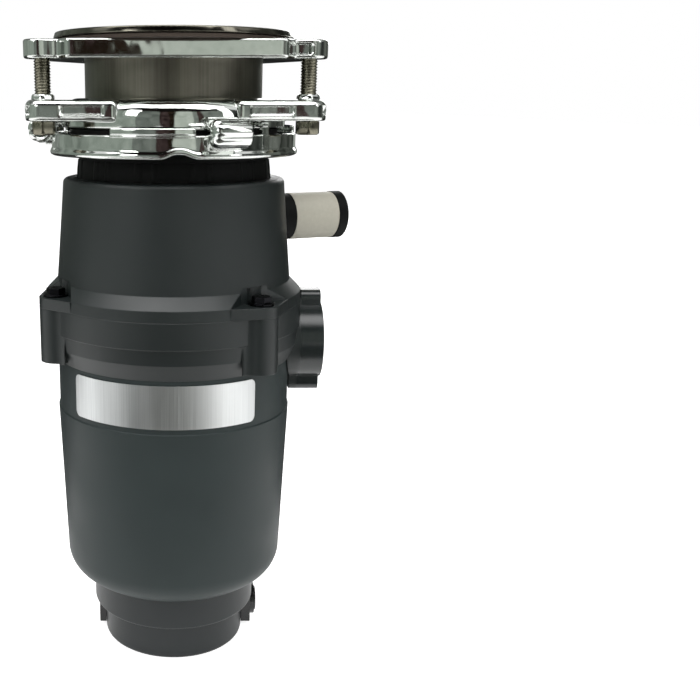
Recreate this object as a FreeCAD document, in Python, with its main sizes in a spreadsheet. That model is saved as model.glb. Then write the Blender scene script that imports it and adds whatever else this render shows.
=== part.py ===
import FreeCAD, Part
import os
import re
import Sketcher

# A food-waste disposer with a three-screw sink mount, in millimetres, +Z up.
# The origin is the centre of the base's underside, and the front faces -Y.
# Angles are degrees about +Z counted from the front, positive towards +X.

SIZES = {
    # fits between pieces
    "seat_gap": 0.1, "loose_gap": 0.3, "running_gap": 0.05,
    # base
    "foot_radius": 37.0, "foot_height": 20.0, "base_wall": 2.2, "foot_round": 2.0,
    "end_cap_radius": 42.6, "end_cap_height": 17.8, "spigot_radius": 38.2, "spigot_height": 2.8,
    "base_screw_reach": 29.0, "base_screw_radius": 1.6, "vent_length": 9.0, "vent_width": 2.4,
    # motor shell
    "shell_wall": 2.1, "shell_round": 14.0, "shell_bottom_radius": 56.3, "shell_top_radius": 59.4,
    "shell_height": 92.4, "band_radius": 58.8, "band_height": 25.8, "tongue_height": 3.9,
    "plate_height": 21.0, "plate_lift": 2.6, "plate_thickness": 0.3, "plate_start_angle": -52.5,
    "plate_angle": 93.0, "plate_corner": 3.0,
    # motor
    "shaft_radius": 5.0, "shaft_tip_radius": 4.0, "bearing_radius": 11.0, "bearing_height": 9.6,
    "frame_hub_radius": 15.5, "frame_plate": 4.0, "frame_rim_height": 17.5,
    "flux_radius": 53.2, "flux_wall": 3.4, "motor_lift": 10.9, "upper_frame_drop": 9.8,
    "magnet_thickness": 4.6, "magnet_overhang": 6.0, "magnet_angle": 68.0,
    "air_gap": 0.8, "core_foot": 18.0, "core_head": 12.0, "slot_count": 12, "slot_width": 4.6,
    "slot_depth": 16.0,
    "winding_overhang": 6.6, "winding_gap": 0.3,
    "commutator_radius": 14.0, "commutator_height": 15.0,
    "brush_length": 15.0, "brush_width": 6.0, "brush_height": 8.0, "holder_wall": 1.2,
    "card_thickness": 1.5, "coil_wire": 0.4, "coil_turns": 5,
    "bolt_radius": 1.9, "bolt_head": 3.6, "frame_screw_reach": 40.0, "frame_screw_radius": 2.0,
    # electrical pieces in the base
    "board_length": 38.0, "board_width": 28.0, "board_thickness": 1.6, "bridge_size": 15.0,
    "protector_x": -15.0, "protector_y": -13.0, "protector_length": 20.0, "protector_width": 22.0,
    "button_radius": 3.9, "button_collar": 0.8, "button_travel": 2.0, "button_recess": 0.8,
    # wiring box behind the base
    "box_left": 40.5, "box_right": 42.0, "box_front": 3.0, "box_back": 46.0, "box_lift": 2.4,
    "box_wall": 2.2, "cover_thickness": 1.6, "gland_y": 8.0, "gland_radius": 8.4,
    "gland_bore": 4.2, "gland_nut": 2.6, "gland_tip": 0.8, "small_screw": 1.5,
    # drain housing
    "drain_rim_radius": 64.2, "drain_step_out": 0.6, "drain_overlap": 0.4,
    "drain_height": 28.4, "drain_slope": 8.3, "drain_step": 15.5, "drain_wall": 6.0,
    "drain_floor": 4.0, "drain_tilt": 2.0, "drain_hub_radius": 15.0, "drain_hub_height": 18.0,
    "seal_radius": 12.0, "seal_height": 8.0, "rim_lip": 2.8, "gasket_width": 3.0,
    "gasket_height": 1.5,
    "ear_inset": 1.8, "ear_radius": 8.0, "ear_flare": 7.0, "ear_depth": 26.6, "ear_foot_angle": 17.0,
    "left_ear_angle": -65.5, "right_ear_angle": 40.5, "rear_ear_angle": 167.5, "ear_screw_radius": 2.1,
    # discharge outlet
    "outlet_reach": 74.6, "outlet_radius": 19.5, "outlet_bore": 15.5, "outlet_drop": 21.8,
    "outlet_lug_reach": 25.9, "outlet_lug_width": 14.0, "outlet_lug_round": 4.0,
    "outlet_screw_reach": 22.6, "outlet_screw_radius": 2.1, "outlet_screw_depth": 8.0,
    # hood and grind container
    "hood_height": 60.2, "hood_band": 5.3, "hood_slope": 5.6, "hood_inset": 5.9,
    "hood_draft": 3.9, "hood_wall": 2.2, "hood_round": 2.4, "hood_gap": 0.6,
    "pad_radius": 6.6, "pad_height": 7.6,
    "container_inset": 4.9, "container_top_inset": 4.0, "container_wall": 1.9,
    "container_flange": 3.2, "shoulder_drop": 10.5, "neck_inset": 7.1, "neck_taper": 1.0,
    "neck_wall": 4.3, "neck_length": 11.1, "bead_depth": 1.3, "bead_height": 3.4,
    "foam_height": 37.0,
    # grinding parts
    "ring_thickness": 2.4, "ring_height": 21.8, "ring_slots": 18, "ring_slot_width": 3.0,
    "ring_slot_height": 6.0,
    "table_gap": 1.2, "table_thickness": 3.0, "table_lift": 3.3, "table_hub_radius": 9.0,
    "pivot_inset": 18.6, "rivet_radius": 2.7, "rivet_head": 5.0, "lug_width": 13.0,
    "lug_plate": 3.0, "lug_height": 12.0, "lug_inset": 1.6, "lug_block": 7.6,
    "nut_height": 6.5, "nut_radius": 7.5, "slinger_radius": 14.0, "slinger_height": 2.7,
    # dishwasher inlet
    "inlet_radius": 11.7, "inlet_bore": 9.5, "inlet_angle": 110.0, "inlet_rise": 38.3,
    "inlet_reach": 92.5, "inlet_bead": 5.0, "label_length": 24.4, "label_thickness": 0.2,
    "plug_thickness": 2.0, "plug_ledge": 1.0,
    # sink mount
    "mount_angle": 2.0, "throat_radius": 42.7, "throat_wall": 1.2, "mount_clearance": 0.6,
    "lock_gap": 3.9, "lock_ledge": 6.8, "lock_lip": 2.4, "lock_wall": 2.4, "lock_height": 10.4,
    "bead_proud": 0.7, "hook_place_angle": 19.5, "hook_angle": 14.0, "hook_depth": 2.7,
    "hook_thickness": 2.7,
    "tube_radius": 6.3, "tube_bore": 3.6, "tube_length": 17.5, "tube_offset": 5.6,
    "tube_height": 11.4,
    "mount_lift": 12.8, "mount_inset": 3.1, "mount_wall_height": 8.6,
    "cone_wall": 3.3, "mount_height": 13.5, "tab_angle": 29.0, "tab_thickness": 2.4,
    "arm_lift": 3.5, "arm_height": 9.2, "arm_angle": 26.0, "arm_inset": 2.4, "arm_round": 4.0,
    "jack_offset": 9.6, "jack_boss": 8.2, "jack_collar": 6.0, "jack_collar_height": 2.4,
    "jack_radius": 3.8, "jack_head": 5.9, "jack_head_height": 6.2,
    "mount_space": 30.3, "backup_height": 8.3, "bar_width": 5.3, "corner_inset": 3.4,
    "fibre_inset": 1.55, "fibre_thickness": 1.6,
    "rim_radius": 57.15, "rim_height": 4.7, "rim_lip_width": 1.3,
    "snap_wire": 1.4, "snap_groove": 0.4, "snap_split": 8.0,
    "cushion_flange": 4.1, "cushion_step": 4.0, "shelf_width": 3.9, "shelf_height": 2.1,
    "guard_opening": 19.0, "guard_thickness": 1.8, "guard_slits": 8, "guard_slit": 1.0,
}

doc = FreeCAD.newDocument("Disposer")
sheet = doc.addObject("Spreadsheet::Sheet", "Sizes")
for row, (alias, size) in enumerate(SIZES.items(), start=1):
    sheet.set(f"A{row}", alias)
    sheet.set(f"B{row}", str(size))
    sheet.setAlias(f"B{row}", alias)
doc.recompute()

UP = FreeCAD.Vector(0, 0, 1)
THREE = (0, 120, 240)
SIXTY = ("60", "180", "300")

# Heights of the joints between the stacked pieces, as expressions
END_CAP = "foot_height"
SHELL = f"{END_CAP} + end_cap_height"
BAND = f"{SHELL} + shell_height"
DRAIN = f"{BAND} + band_height"
JOINT = f"{DRAIN} + drain_height"
HOOD_TOP = f"{JOINT} + hood_height"
LOCK = f"{HOOD_TOP} + neck_length"
MOUNT = f"{LOCK} + mount_lift"
BACKUP = f"{MOUNT} + mount_space"
RIM = f"{BACKUP} + backup_height"
UPPER_FRAME = f"{DRAIN} - upper_frame_drop"
LOWER_FRAME = f"{SHELL} + motor_lift"
FLUX = f"{LOWER_FRAME} + frame_rim_height"
CARD = f"{FLUX} - 8"
CORE = f"{FLUX} + core_foot"
CORE_HEIGHT = f"(({UPPER_FRAME}) - ({CORE}) - core_head)"
TABLE = f"{JOINT} + table_lift"

# Radii that follow from others, as expressions
DRAIN_OUT = "(drain_rim_radius - drain_step_out)"
DRAIN_FOOT = "(band_radius + drain_overlap)"
EAR = "(drain_rim_radius - ear_inset)"
HOOD = "(drain_rim_radius - hood_inset)"
HOOD_CROWN = f"({HOOD} - hood_draft)"
CONTAINER = "(drain_rim_radius - drain_wall - container_inset)"
CONTAINER_TOP = f"({HOOD_CROWN} - container_top_inset)"
SHREDDER = f"({CONTAINER} - container_wall - 0.2)"
TABLE_OUT = f"({SHREDDER} - ring_thickness - table_gap)"
LUG_OUT = f"({TABLE_OUT} - lug_inset)"
PIVOT = f"({TABLE_OUT} - pivot_inset)"
NECK = f"({HOOD_CROWN} - neck_inset)"
NECK_TOP = f"({NECK} - neck_taper)"
NECK_BORE = f"({NECK_TOP} - neck_wall)"
NECK_BEAD = f"({NECK_TOP} + bead_depth)"
LOCK_HOLE = f"({NECK_TOP} + lock_gap)"
LOCK_IN = f"({LOCK_HOLE} + lock_ledge)"
LOCK_OUT = f"({LOCK_IN} + lock_wall)"
TUBES = f"({LOCK_OUT} + tube_offset)"
JACK = f"({LOCK_OUT} + jack_offset)"
THROAT_IN = "(throat_radius - throat_wall)"
SHELF = "(throat_radius - shelf_width)"


def full(text):
    """The expression with each size's name pointed at the sheet."""
    return re.sub(r"[a-z][a-z_]+", lambda m: f"Sizes.{m[0]}" if m[0] in SIZES else m[0], str(text))


def number(text):
    """The value of an expression of sizes."""
    result = sheet.evalExpression(full(text))
    return float(getattr(result, "Value", result))


def place(item, x=0, y=0, z=0, turn=None):
    """Bind an object's place, and its turn about its own axis, to expressions."""
    for side, text in (("x", x), ("y", y), ("z", z)):
        if text != 0:
            item.setExpression(f"Placement.Base.{side}", full(text))
    if turn is not None:
        item.setExpression("Placement.Rotation.Angle", full(turn))
    return item


def lie_along(item, axis):
    """Turn a cylinder or prism from +Z to lie along +X or +Y."""
    about = {"x": FreeCAD.Vector(0, 1, 0), "y": FreeCAD.Vector(-1, 0, 0)}[axis]
    item.Placement = FreeCAD.Placement(FreeCAD.Vector(), FreeCAD.Rotation(about, 90))
    return item


def draw(sketch, points, arcs):
    """Close an outline; arcs maps a side's number to (radius, 1 if its centre is on the left or -1)."""
    spots = [FreeCAD.Vector(number(x), number(y), 0) for x, y in points]
    ends = []
    for side, start in enumerate(spots):
        stop = spots[(side + 1) % len(spots)]
        if side not in arcs:
            sketch.addGeometry(Part.LineSegment(start, stop), False)
            ends.append((1, 2))
            continue
        radius, hand = number(arcs[side][0]), arcs[side][1]
        chord = stop - start
        rise = max(radius ** 2 - (chord.Length / 2) ** 2, 0) ** 0.5
        left = FreeCAD.Vector(-chord.y, chord.x, 0).normalize()
        centre = (start + stop) / 2 + left * rise * hand
        circle = Part.Circle(centre, UP, radius)
        first, last = (start, stop) if hand > 0 else (stop, start)
        arc = Part.ArcOfCircle(circle, circle.parameter(first), circle.parameter(last))
        sketch.addGeometry(arc, False)
        ends.append((1, 2) if hand > 0 else (2, 1))
    for side in range(len(spots)):
        after = (side + 1) % len(spots)
        sketch.addConstraint(Sketcher.Constraint("Coincident", side, ends[side][1], after, ends[after][0]))
    for side, (x, y) in enumerate(points):
        for kind, text in (("DistanceX", x), ("DistanceY", y)):
            rule = Sketcher.Constraint(kind, -1, 1, side, ends[side][0], number(text))
            sketch.setExpression(f"Constraints[{sketch.addConstraint(rule)}]", full(text))
    for side, (radius, _) in arcs.items():
        rule = sketch.addConstraint(Sketcher.Constraint("Radius", side, number(radius)))
        sketch.setExpression(f"Constraints[{rule}]", full(radius))


def new_body(name, plane, points, arcs):
    """A body with one sketch on its own origin plane."""
    body = doc.addObject("PartDesign::Body", name)
    sketch = body.newObject("Sketcher::SketchObject", name + "Outline")
    sketch.AttachmentSupport = [(next(o for o in body.Origin.OriginFeatures if o.Role == plane), "")]
    sketch.MapMode = "FlatFace"
    draw(sketch, points, arcs or {})
    return body, sketch


def turned(name, points, arcs=None):
    """A body turned about Z from its half section, a list of (radius, height)."""
    body, sketch = new_body(name, "XZ_Plane", points, arcs)
    turn = body.newObject("PartDesign::Revolution", name + "Turn")
    turn.Profile = sketch
    turn.ReferenceAxis = (sketch, ["V_Axis"])
    turn.Angle = 360
    return body


def raised(name, points, bottom, height, arcs=None):
    """A body raised along Z from an outline in plan, a list of (x, y)."""
    body, sketch = new_body(name, "XY_Plane", points, arcs)
    sketch.setExpression("AttachmentOffset.Base.z", full(bottom))
    pad = body.newObject("PartDesign::Pad", name + "Pad")
    pad.Profile = sketch
    pad.setExpression("Length", full(height))
    return body


def tube(name, inner, outer, bottom, top):
    """A plain ring between two radii and two heights."""
    return turned(name, [(inner, bottom), (outer, bottom), (outer, top), (inner, top)])


def cylinder(name, radius, height, x=0, y=0, z=0, axis="z", sector=None):
    item = doc.addObject("Part::Cylinder", name)
    item.setExpression("Radius", full(radius))
    item.setExpression("Height", full(height))
    if sector is not None:
        item.setExpression("Angle", full(sector))
    if axis != "z":
        lie_along(item, axis)
    return place(item, x, y, z)


def hexagon(name, corner, height, x=0, y=0, z=0):
    item = doc.addObject("Part::Prism", name)
    item.Polygon = 6
    item.setExpression("Circumradius", full(corner))
    item.setExpression("Height", full(height))
    return place(item, x, y, z)


def block(name, length, width, height, x=0, y=0, z=0):
    item = doc.addObject("Part::Box", name)
    for side, text in (("Length", length), ("Width", width), ("Height", height)):
        item.setExpression(side, full(text))
    return place(item, x, y, z)


def fuse(name, *items):
    item = doc.addObject("Part::MultiFuse", name)
    item.Shapes = list(items)
    return item


def cut(name, base, *tools):
    item = doc.addObject("Part::Cut", name)
    item.Base = base
    item.Tool = tools[0] if len(tools) == 1 else fuse(name + "Tools", *tools)
    return item


def common(name, first, second):
    item = doc.addObject("Part::MultiCommon", name)
    item.Shapes = [first, second]
    return item


def group(name, items):
    """Several separate solids in one sub-part."""
    item = doc.addObject("Part::Compound", name)
    item.Links = list(items)
    return item


def around(item, turns):
    """Copies of an item, each turned about Z by one of the angles."""
    copies = []
    for index, turn in enumerate(turns):
        copy = group(f"{item.Name}At{index}", [item])
        copy.Placement = FreeCAD.Placement(FreeCAD.Vector(), FreeCAD.Rotation(UP, 0))
        copies.append(place(copy, turn=turn))
    return copies


PARTS = []


def part(label, item):
    """Name a finished sub-part, which is written to a file of that name."""
    item.Label = label
    PARTS.append(item)
    return item


def evenly(count, start="0"):
    """Expressions for a number of equal turns about Z."""
    total = int(round(number(count)))
    return [f"({start}) + {index} * 360 / {total}" for index in range(total)]


EARS = ("left_ear_angle", "right_ear_angle", "rear_ear_angle")


def base_cap():
    """The lower step of the base: a cup with vents and the hole for the reset button."""
    cup = turned("BaseCup", [
        (0, 0), ("foot_radius - foot_round", 0), ("foot_radius", "foot_round"),
        ("foot_radius", "foot_height"), ("foot_radius - base_wall", "foot_height"),
        ("foot_radius - base_wall", "base_wall"), (0, "base_wall")], {1: ("foot_round", 1)})
    post = cylinder("BasePost", "base_screw_radius + 2.4", "foot_height - base_wall / 2",
                    y="-base_screw_reach", z="base_wall / 2")
    hole = cylinder("BaseHole", "base_screw_radius + seat_gap", "foot_height", y="-base_screw_reach")
    sink = cylinder("BaseSink", "base_screw_radius + 1.7", 2.4, y="-base_screw_reach")
    vent = block("BaseVent", "vent_width", "vent_length", "3 * base_wall",
                 x="-vent_width / 2", y="-12 - vent_length", z="-base_wall")
    vents = [f"{turn}" for turn in (40, 80, 120, 160, 200, 240, 280)]
    button = cylinder("BaseButton", "button_radius + loose_gap", "3 * base_wall",
                      x="protector_x", y="protector_y", z="-base_wall")
    solid = fuse("BaseSolid", cup, *around(post, SIXTY))
    holes = [*around(hole, SIXTY), *around(sink, SIXTY), lead_hole("BaseLead")]
    part("base_cap", cut("BaseCap", solid, *holes, *around(vent, vents), button))


def base_screws():
    """Three screws that hold the lower step under the upper one."""
    shank = cylinder("BaseShank", "base_screw_radius", "foot_height + base_wall + 1",
                     y="-base_screw_reach", z="1")
    head = cylinder("BaseHead", "base_screw_radius + 1.5", 1.6, y="-base_screw_reach", z="0.8")
    part("base_screws", group("BaseScrews", around(fuse("BaseScrew", shank, head), SIXTY)))


def end_cap():
    """The upper step of the base, with a spigot up into the motor shell."""
    wall = turned("EndCapWall", [
        (0, END_CAP), ("end_cap_radius - 1.2", END_CAP), ("end_cap_radius", f"{END_CAP} + 1.2"),
        ("end_cap_radius", SHELL), ("spigot_radius", SHELL),
        ("spigot_radius", f"{SHELL} + spigot_height"), ("spigot_radius - 2.2", f"{SHELL} + spigot_height"),
        ("spigot_radius - 2.2", f"{SHELL} - 2.4"), ("end_cap_radius - base_wall", f"{SHELL} - 2.4"),
        ("end_cap_radius - base_wall", f"{END_CAP} + base_wall"), (0, f"{END_CAP} + base_wall")],
        {1: ("1.2", 1)})
    pilot = cylinder("EndCapPilot", "base_screw_radius + seat_gap", "4 * base_wall",
                     y="-base_screw_reach", z=f"{END_CAP} - base_wall")
    wires = cylinder("EndCapWires", 4, "4 * base_wall", y=17, z=f"{END_CAP} - base_wall")
    part("end_cap", cut("EndCap", wall, wires, *around(pilot, SIXTY)))


def motor_shell():
    """The moulded motor shell: a rounded bottom, a long taper and a recessed band on top."""
    inner_band = "band_radius - shell_wall"
    tongue = f"{inner_band} + seat_gap"
    corner = "shell_bottom_radius - shell_round"
    lift = f"{SHELL} + shell_round"
    part("motor_shell", turned("MotorShell", [
        ("spigot_radius + loose_gap", SHELL), (corner, SHELL), ("shell_bottom_radius", lift),
        ("shell_top_radius", f"{BAND} - 0.4"), ("band_radius", BAND), ("band_radius", DRAIN),
        (tongue, DRAIN), (tongue, f"{DRAIN} + tongue_height"),
        (f"{tongue} - 1.8", f"{DRAIN} + tongue_height"), (f"{tongue} - 1.8", f"{DRAIN} - 2"),
        (inner_band, f"{DRAIN} - 4"), (inner_band, BAND),
        ("shell_bottom_radius - shell_wall", lift), (corner, f"{SHELL} + shell_wall"),
        ("spigot_radius + loose_gap", f"{SHELL} + shell_wall")],
        {1: ("shell_round", 1), 12: ("shell_round - shell_wall", -1)}))


def nameplate():
    """A thin curved plate with round corners on the recessed band."""
    sector = cylinder("PlateSector", "band_radius + loose_gap + plate_thickness", "plate_height",
                      z=f"{BAND} + plate_lift", sector="plate_angle")
    hollow = cylinder("PlateHollow", "band_radius + loose_gap", "plate_height + 2",
                      z=f"{BAND} + plate_lift - 1")
    place(sector, turn="plate_start_angle - 90")
    plate = cut("PlateSheet", sector, hollow)
    doc.recompute()
    corners = []
    for index, edge in enumerate(plate.Shape.Edges, start=1):
        ends = [vertex.Point for vertex in edge.Vertexes]
        level = len(ends) == 2 and abs(ends[0].z - ends[1].z) < 1e-6
        if level and isinstance(edge.Curve, Part.Line):
            corners.append((index, number("plate_corner"), number("plate_corner")))
    rounded = doc.addObject("Part::Fillet", "Nameplate")
    rounded.Base = plate
    rounded.Edges = corners
    part("nameplate", rounded)


def end_frames():
    """The two cast frames that carry the bearings and clamp the flux ring."""
    pocket = "bearing_radius + seat_gap"
    rim = "flux_radius - flux_wall"
    plate_top = f"{LOWER_FRAME} + frame_plate"
    lower = turned("LowerFrameTurned", [
        ("shaft_radius + 1.5", f"{LOWER_FRAME} - 6.7"), ("frame_hub_radius", f"{LOWER_FRAME} - 6.7"),
        ("frame_hub_radius", LOWER_FRAME), ("spigot_radius - 2.2", LOWER_FRAME),
        ("spigot_radius - 2.2", f"{SHELL} + spigot_height"), ("spigot_radius", f"{SHELL} + spigot_height"),
        ("spigot_radius", LOWER_FRAME), ("flux_radius", LOWER_FRAME), ("flux_radius", FLUX),
        (rim, FLUX), (rim, CARD), (f"{rim} - 2.1", CARD), (f"{rim} - 2.1", plate_top),
        ("frame_hub_radius", plate_top), ("frame_hub_radius", f"{LOWER_FRAME} + bearing_height - 4.5"),
        (pocket, f"{LOWER_FRAME} + bearing_height - 4.5"), (pocket, f"{LOWER_FRAME} - 4.5"),
        ("shaft_radius + 1.5", f"{LOWER_FRAME} - 4.5")])
    bolt_hole = cylinder("LowerBoltHole", "bolt_radius + seat_gap", 60, y=BOLT_REACH,
                         z=f"{LOWER_FRAME} - 5")
    part("lower_end_frame", cut("LowerEndFrame", lower, *around(bolt_hole, ("45", "225"))))

    top = f"{UPPER_FRAME} + frame_plate"
    upper = turned("UpperFrameTurned", [
        (pocket, UPPER_FRAME), ("band_radius - shell_wall - loose_gap", UPPER_FRAME),
        ("band_radius - shell_wall - loose_gap", top), ("frame_hub_radius", top),
        ("frame_hub_radius", f"{UPPER_FRAME} + bearing_height + 1.8"),
        ("shaft_radius + 1.5", f"{UPPER_FRAME} + bearing_height + 1.8"),
        ("shaft_radius + 1.5", f"{UPPER_FRAME} + bearing_height + 0.1"),
        (pocket, f"{UPPER_FRAME} + bearing_height + 0.1")])
    post = cylinder("FramePost", "frame_screw_radius + 3",
                    f"({DRAIN} + tongue_height) - ({UPPER_FRAME}) - 1",
                    y="-frame_screw_reach", z=f"{UPPER_FRAME} + 1")
    screw_hole = cylinder("FrameScrewHole", "frame_screw_radius + seat_gap", 40,
                          y="-frame_screw_reach", z=f"{UPPER_FRAME} - 5")
    tap = cylinder("UpperBoltHole", "bolt_radius + seat_gap", 40, y=BOLT_REACH, z=f"{UPPER_FRAME} - 5")
    solid = fuse("UpperFrameSolid", upper, *around(post, THREE))
    holes = around(screw_hole, THREE) + around(tap, ("45", "225"))
    part("upper_end_frame", cut("UpperEndFrame", solid, *holes))

    length = f"({DRAIN} + tongue_height + 2.5) - ({UPPER_FRAME})"
    shank = cylinder("FrameShank", "frame_screw_radius", length, y="-frame_screw_reach", z=UPPER_FRAME)
    head = cylinder("FrameHead", "frame_screw_radius + 1.8", 2.4, y="-frame_screw_reach",
                    z=f"{UPPER_FRAME} - 2.4")
    part("frame_screws", group("FrameScrews", around(fuse("FrameScrew", shank, head), THREE)))


BOLT_REACH = "-(flux_radius - flux_wall - bolt_radius - 0.4)"


def through_bolts():
    """Two long bolts from the lower frame to the upper one, between the magnets."""
    rod = cylinder("BoltRod", "bolt_radius", f"({UPPER_FRAME} + frame_plate) - ({LOWER_FRAME})",
                   y=BOLT_REACH, z=LOWER_FRAME)
    head = hexagon("BoltHead", "bolt_head", 2.8, y=BOLT_REACH, z=f"{LOWER_FRAME} - 2.8")
    part("through_bolts", group("ThroughBolts", around(fuse("ThroughBolt", rod, head), ("45", "225"))))


def bearings():
    """A ball bearing in each frame, running on the shaft."""
    for name, bottom in (("lower", f"{LOWER_FRAME} - 4.4"), ("upper", UPPER_FRAME)):
        top = f"{bottom} + bearing_height"
        part(f"{name}_bearing", turned(name.title() + "Bearing", [
            ("shaft_radius + running_gap", bottom), ("shaft_radius + 2", bottom),
            ("shaft_radius + 2", f"{bottom} + 0.5"), ("bearing_radius - 2", f"{bottom} + 0.5"),
            ("bearing_radius - 2", bottom), ("bearing_radius", bottom), ("bearing_radius", top),
            ("bearing_radius - 2", top), ("bearing_radius - 2", f"{top} - 0.5"),
            ("shaft_radius + 2", f"{top} - 0.5"), ("shaft_radius + 2", top),
            ("shaft_radius + running_gap", top)]))


MAGNET = f"{CORE} - magnet_overhang"
MAGNET_HEIGHT = f"{CORE_HEIGHT} + 2 * magnet_overhang"


def field():
    """The steel flux ring and four magnets bonded inside it."""
    part("flux_ring", tube("FluxRing", "flux_radius - flux_wall", "flux_radius", FLUX, UPPER_FRAME))
    outer = "flux_radius - flux_wall - seat_gap"
    sector = cylinder("MagnetSector", outer, MAGNET_HEIGHT, z=MAGNET, sector="magnet_angle")
    hollow = cylinder("MagnetHollow", f"{outer} - magnet_thickness", f"{MAGNET_HEIGHT} + 4", z=f"{MAGNET} - 2")
    magnet = cut("Magnet", sector, hollow)
    turns = [f"{turn} - magnet_angle / 2" for turn in (0, 90, 180, 270)]
    part("field_magnets", group("FieldMagnets", around(magnet, turns)))


ARMATURE = "flux_radius - flux_wall - seat_gap - magnet_thickness - air_gap"


def armature():
    """The slotted core, its windings and the commutator on the shaft."""
    bore = "shaft_radius + running_gap"
    stack = tube("CoreStack", bore, ARMATURE, CORE, f"{CORE} + {CORE_HEIGHT}")
    slot_start = f"{ARMATURE} - slot_depth"
    slot = block("CoreSlot", "slot_depth + 2", "slot_width", f"{CORE_HEIGHT} + 2",
                 x=slot_start, y="-slot_width / 2", z=f"{CORE} - 1")
    turns = evenly("slot_count")
    part("armature_core", cut("ArmatureCore", stack, *around(slot, turns)))

    inner, outer = "shaft_radius + 8", f"{ARMATURE} - 4"
    core_top = f"{CORE} + {CORE_HEIGHT}"
    ends = []
    for name, near, far in (("Upper", f"{core_top} + winding_gap", f"{core_top} + winding_overhang"),
                            ("Lower", f"{CORE} - winding_gap", f"{CORE} - winding_overhang")):
        ends.append(turned(f"{name}Winding", [
            (inner, near), (outer, near), (outer, f"({near}) / 2 + ({far}) / 2"),
            (f"{outer} - 3", far), (f"{inner} + 4", far), (inner, f"({near}) / 2 + ({far}) / 2")]))
    bar = block("WindingBar", "slot_depth - 5", "slot_width - 2 * winding_gap",
                f"{CORE_HEIGHT} + 4 * winding_gap", x=f"{slot_start} + winding_gap",
                y="-slot_width / 2 + winding_gap", z=f"{CORE} - 2 * winding_gap")
    part("armature_windings", fuse("ArmatureWindings", *ends, *around(bar, turns)))

    bottom = f"{LOWER_FRAME} + 8.2"
    riser = f"{bottom} + commutator_height"
    part("commutator", turned("Commutator", [
        (bore, bottom), ("commutator_radius", bottom), ("commutator_radius", riser),
        ("commutator_radius + 2", riser), ("commutator_radius + 2", f"{riser} + 2.4"),
        (bore, f"{riser} + 2.4")]))
    part("thrust_washer", tube("ThrustWasher", bore, "shaft_radius + 3.6", f"{LOWER_FRAME} + 5.6", bottom))


def motor_shaft():
    """The shaft, stepped at the top for the turntable."""
    bottom = f"{LOWER_FRAME} - 5.4"
    shoulder = f"{TABLE} - 2.2"
    top = f"{TABLE} + table_thickness + nut_height + 2"
    part("motor_shaft", turned("MotorShaft", [
        (0, bottom), ("shaft_radius - 0.6", bottom), ("shaft_radius", f"{bottom} + 0.6"),
        ("shaft_radius", shoulder), ("shaft_tip_radius", shoulder), ("shaft_tip_radius", f"{top} - 0.5"),
        ("shaft_tip_radius - 0.5", top), (0, top)]))


def coil(name, height, radius):
    """A compression spring standing on Z, from a round wire swept along a helix."""
    helix = doc.addObject("Part::Helix", name + "Line")
    helix.setExpression("Pitch", full(f"({height}) / coil_turns"))
    helix.setExpression("Height", full(height))
    helix.setExpression("Radius", full(radius))
    wire = doc.addObject("Part::Circle", name + "Wire")
    wire.Placement = FreeCAD.Placement(FreeCAD.Vector(), FreeCAD.Rotation(FreeCAD.Vector(1, 0, 0), 90))
    wire.setExpression("Radius", full("coil_wire"))
    place(wire, x=radius)
    sweep = doc.addObject("Part::Sweep", name)
    sweep.Sections = [wire]
    sweep.Spine = (helix, ["Edge1"])
    sweep.Solid = True
    sweep.Frenet = True
    return sweep


def brushes():
    """The brush card with two brass holders, carbon brushes and their springs."""
    card_top = f"{CARD} + card_thickness"
    card = tube("BrushCardRing", "commutator_radius + 3", "flux_radius - flux_wall - loose_gap", CARD,
                card_top)
    notch = cylinder("CardNotch", "bolt_radius + 0.6", 60, y=BOLT_REACH, z=f"{LOWER_FRAME} - 5")
    part("brush_card", cut("BrushCard", card, *around(notch, ("45", "225"))))

    start = "commutator_radius + 0.1"
    height = "brush_height + 2 * holder_wall + 2 * seat_gap"
    width = "brush_width + 2 * holder_wall + 2 * seat_gap"
    case = block("HolderCase", "2 * brush_length - 5", width, height,
                 x="commutator_radius + 3.4", y=f"-({width}) / 2", z=card_top)
    hollow = block("HolderHollow", "2 * brush_length - 5 - holder_wall", "brush_width + 2 * seat_gap",
                   "brush_height + 2 * seat_gap", x="commutator_radius + 3.4 - seat_gap",
                   y="-brush_width / 2 - seat_gap", z=f"{card_top} + holder_wall")
    part("brush_holders", group("BrushHolders", around(cut("BrushHolder", case, hollow), ("90", "270"))))
    middle = f"{card_top} + holder_wall + seat_gap + brush_height / 2"
    brush = block("Brush", "brush_length", "brush_width", "brush_height",
                  x=start, y="-brush_width / 2", z=f"{middle} - brush_height / 2")
    part("carbon_brushes", group("CarbonBrushes", around(brush, ("90", "270"))))
    room = "brush_length - 1.7 - holder_wall"
    spring = coil("BrushCoil", f"{room} - 2 * coil_wire - 0.4", "brush_width / 2 - coil_wire - 0.3")
    laid = group("BrushCoilLaid", [spring])
    lie_along(laid, "x")
    place(laid, x=f"{start} + brush_length + coil_wire + 0.2", z=middle)
    part("brush_springs", group("BrushSprings", around(laid, ("90", "270"))))


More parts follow.
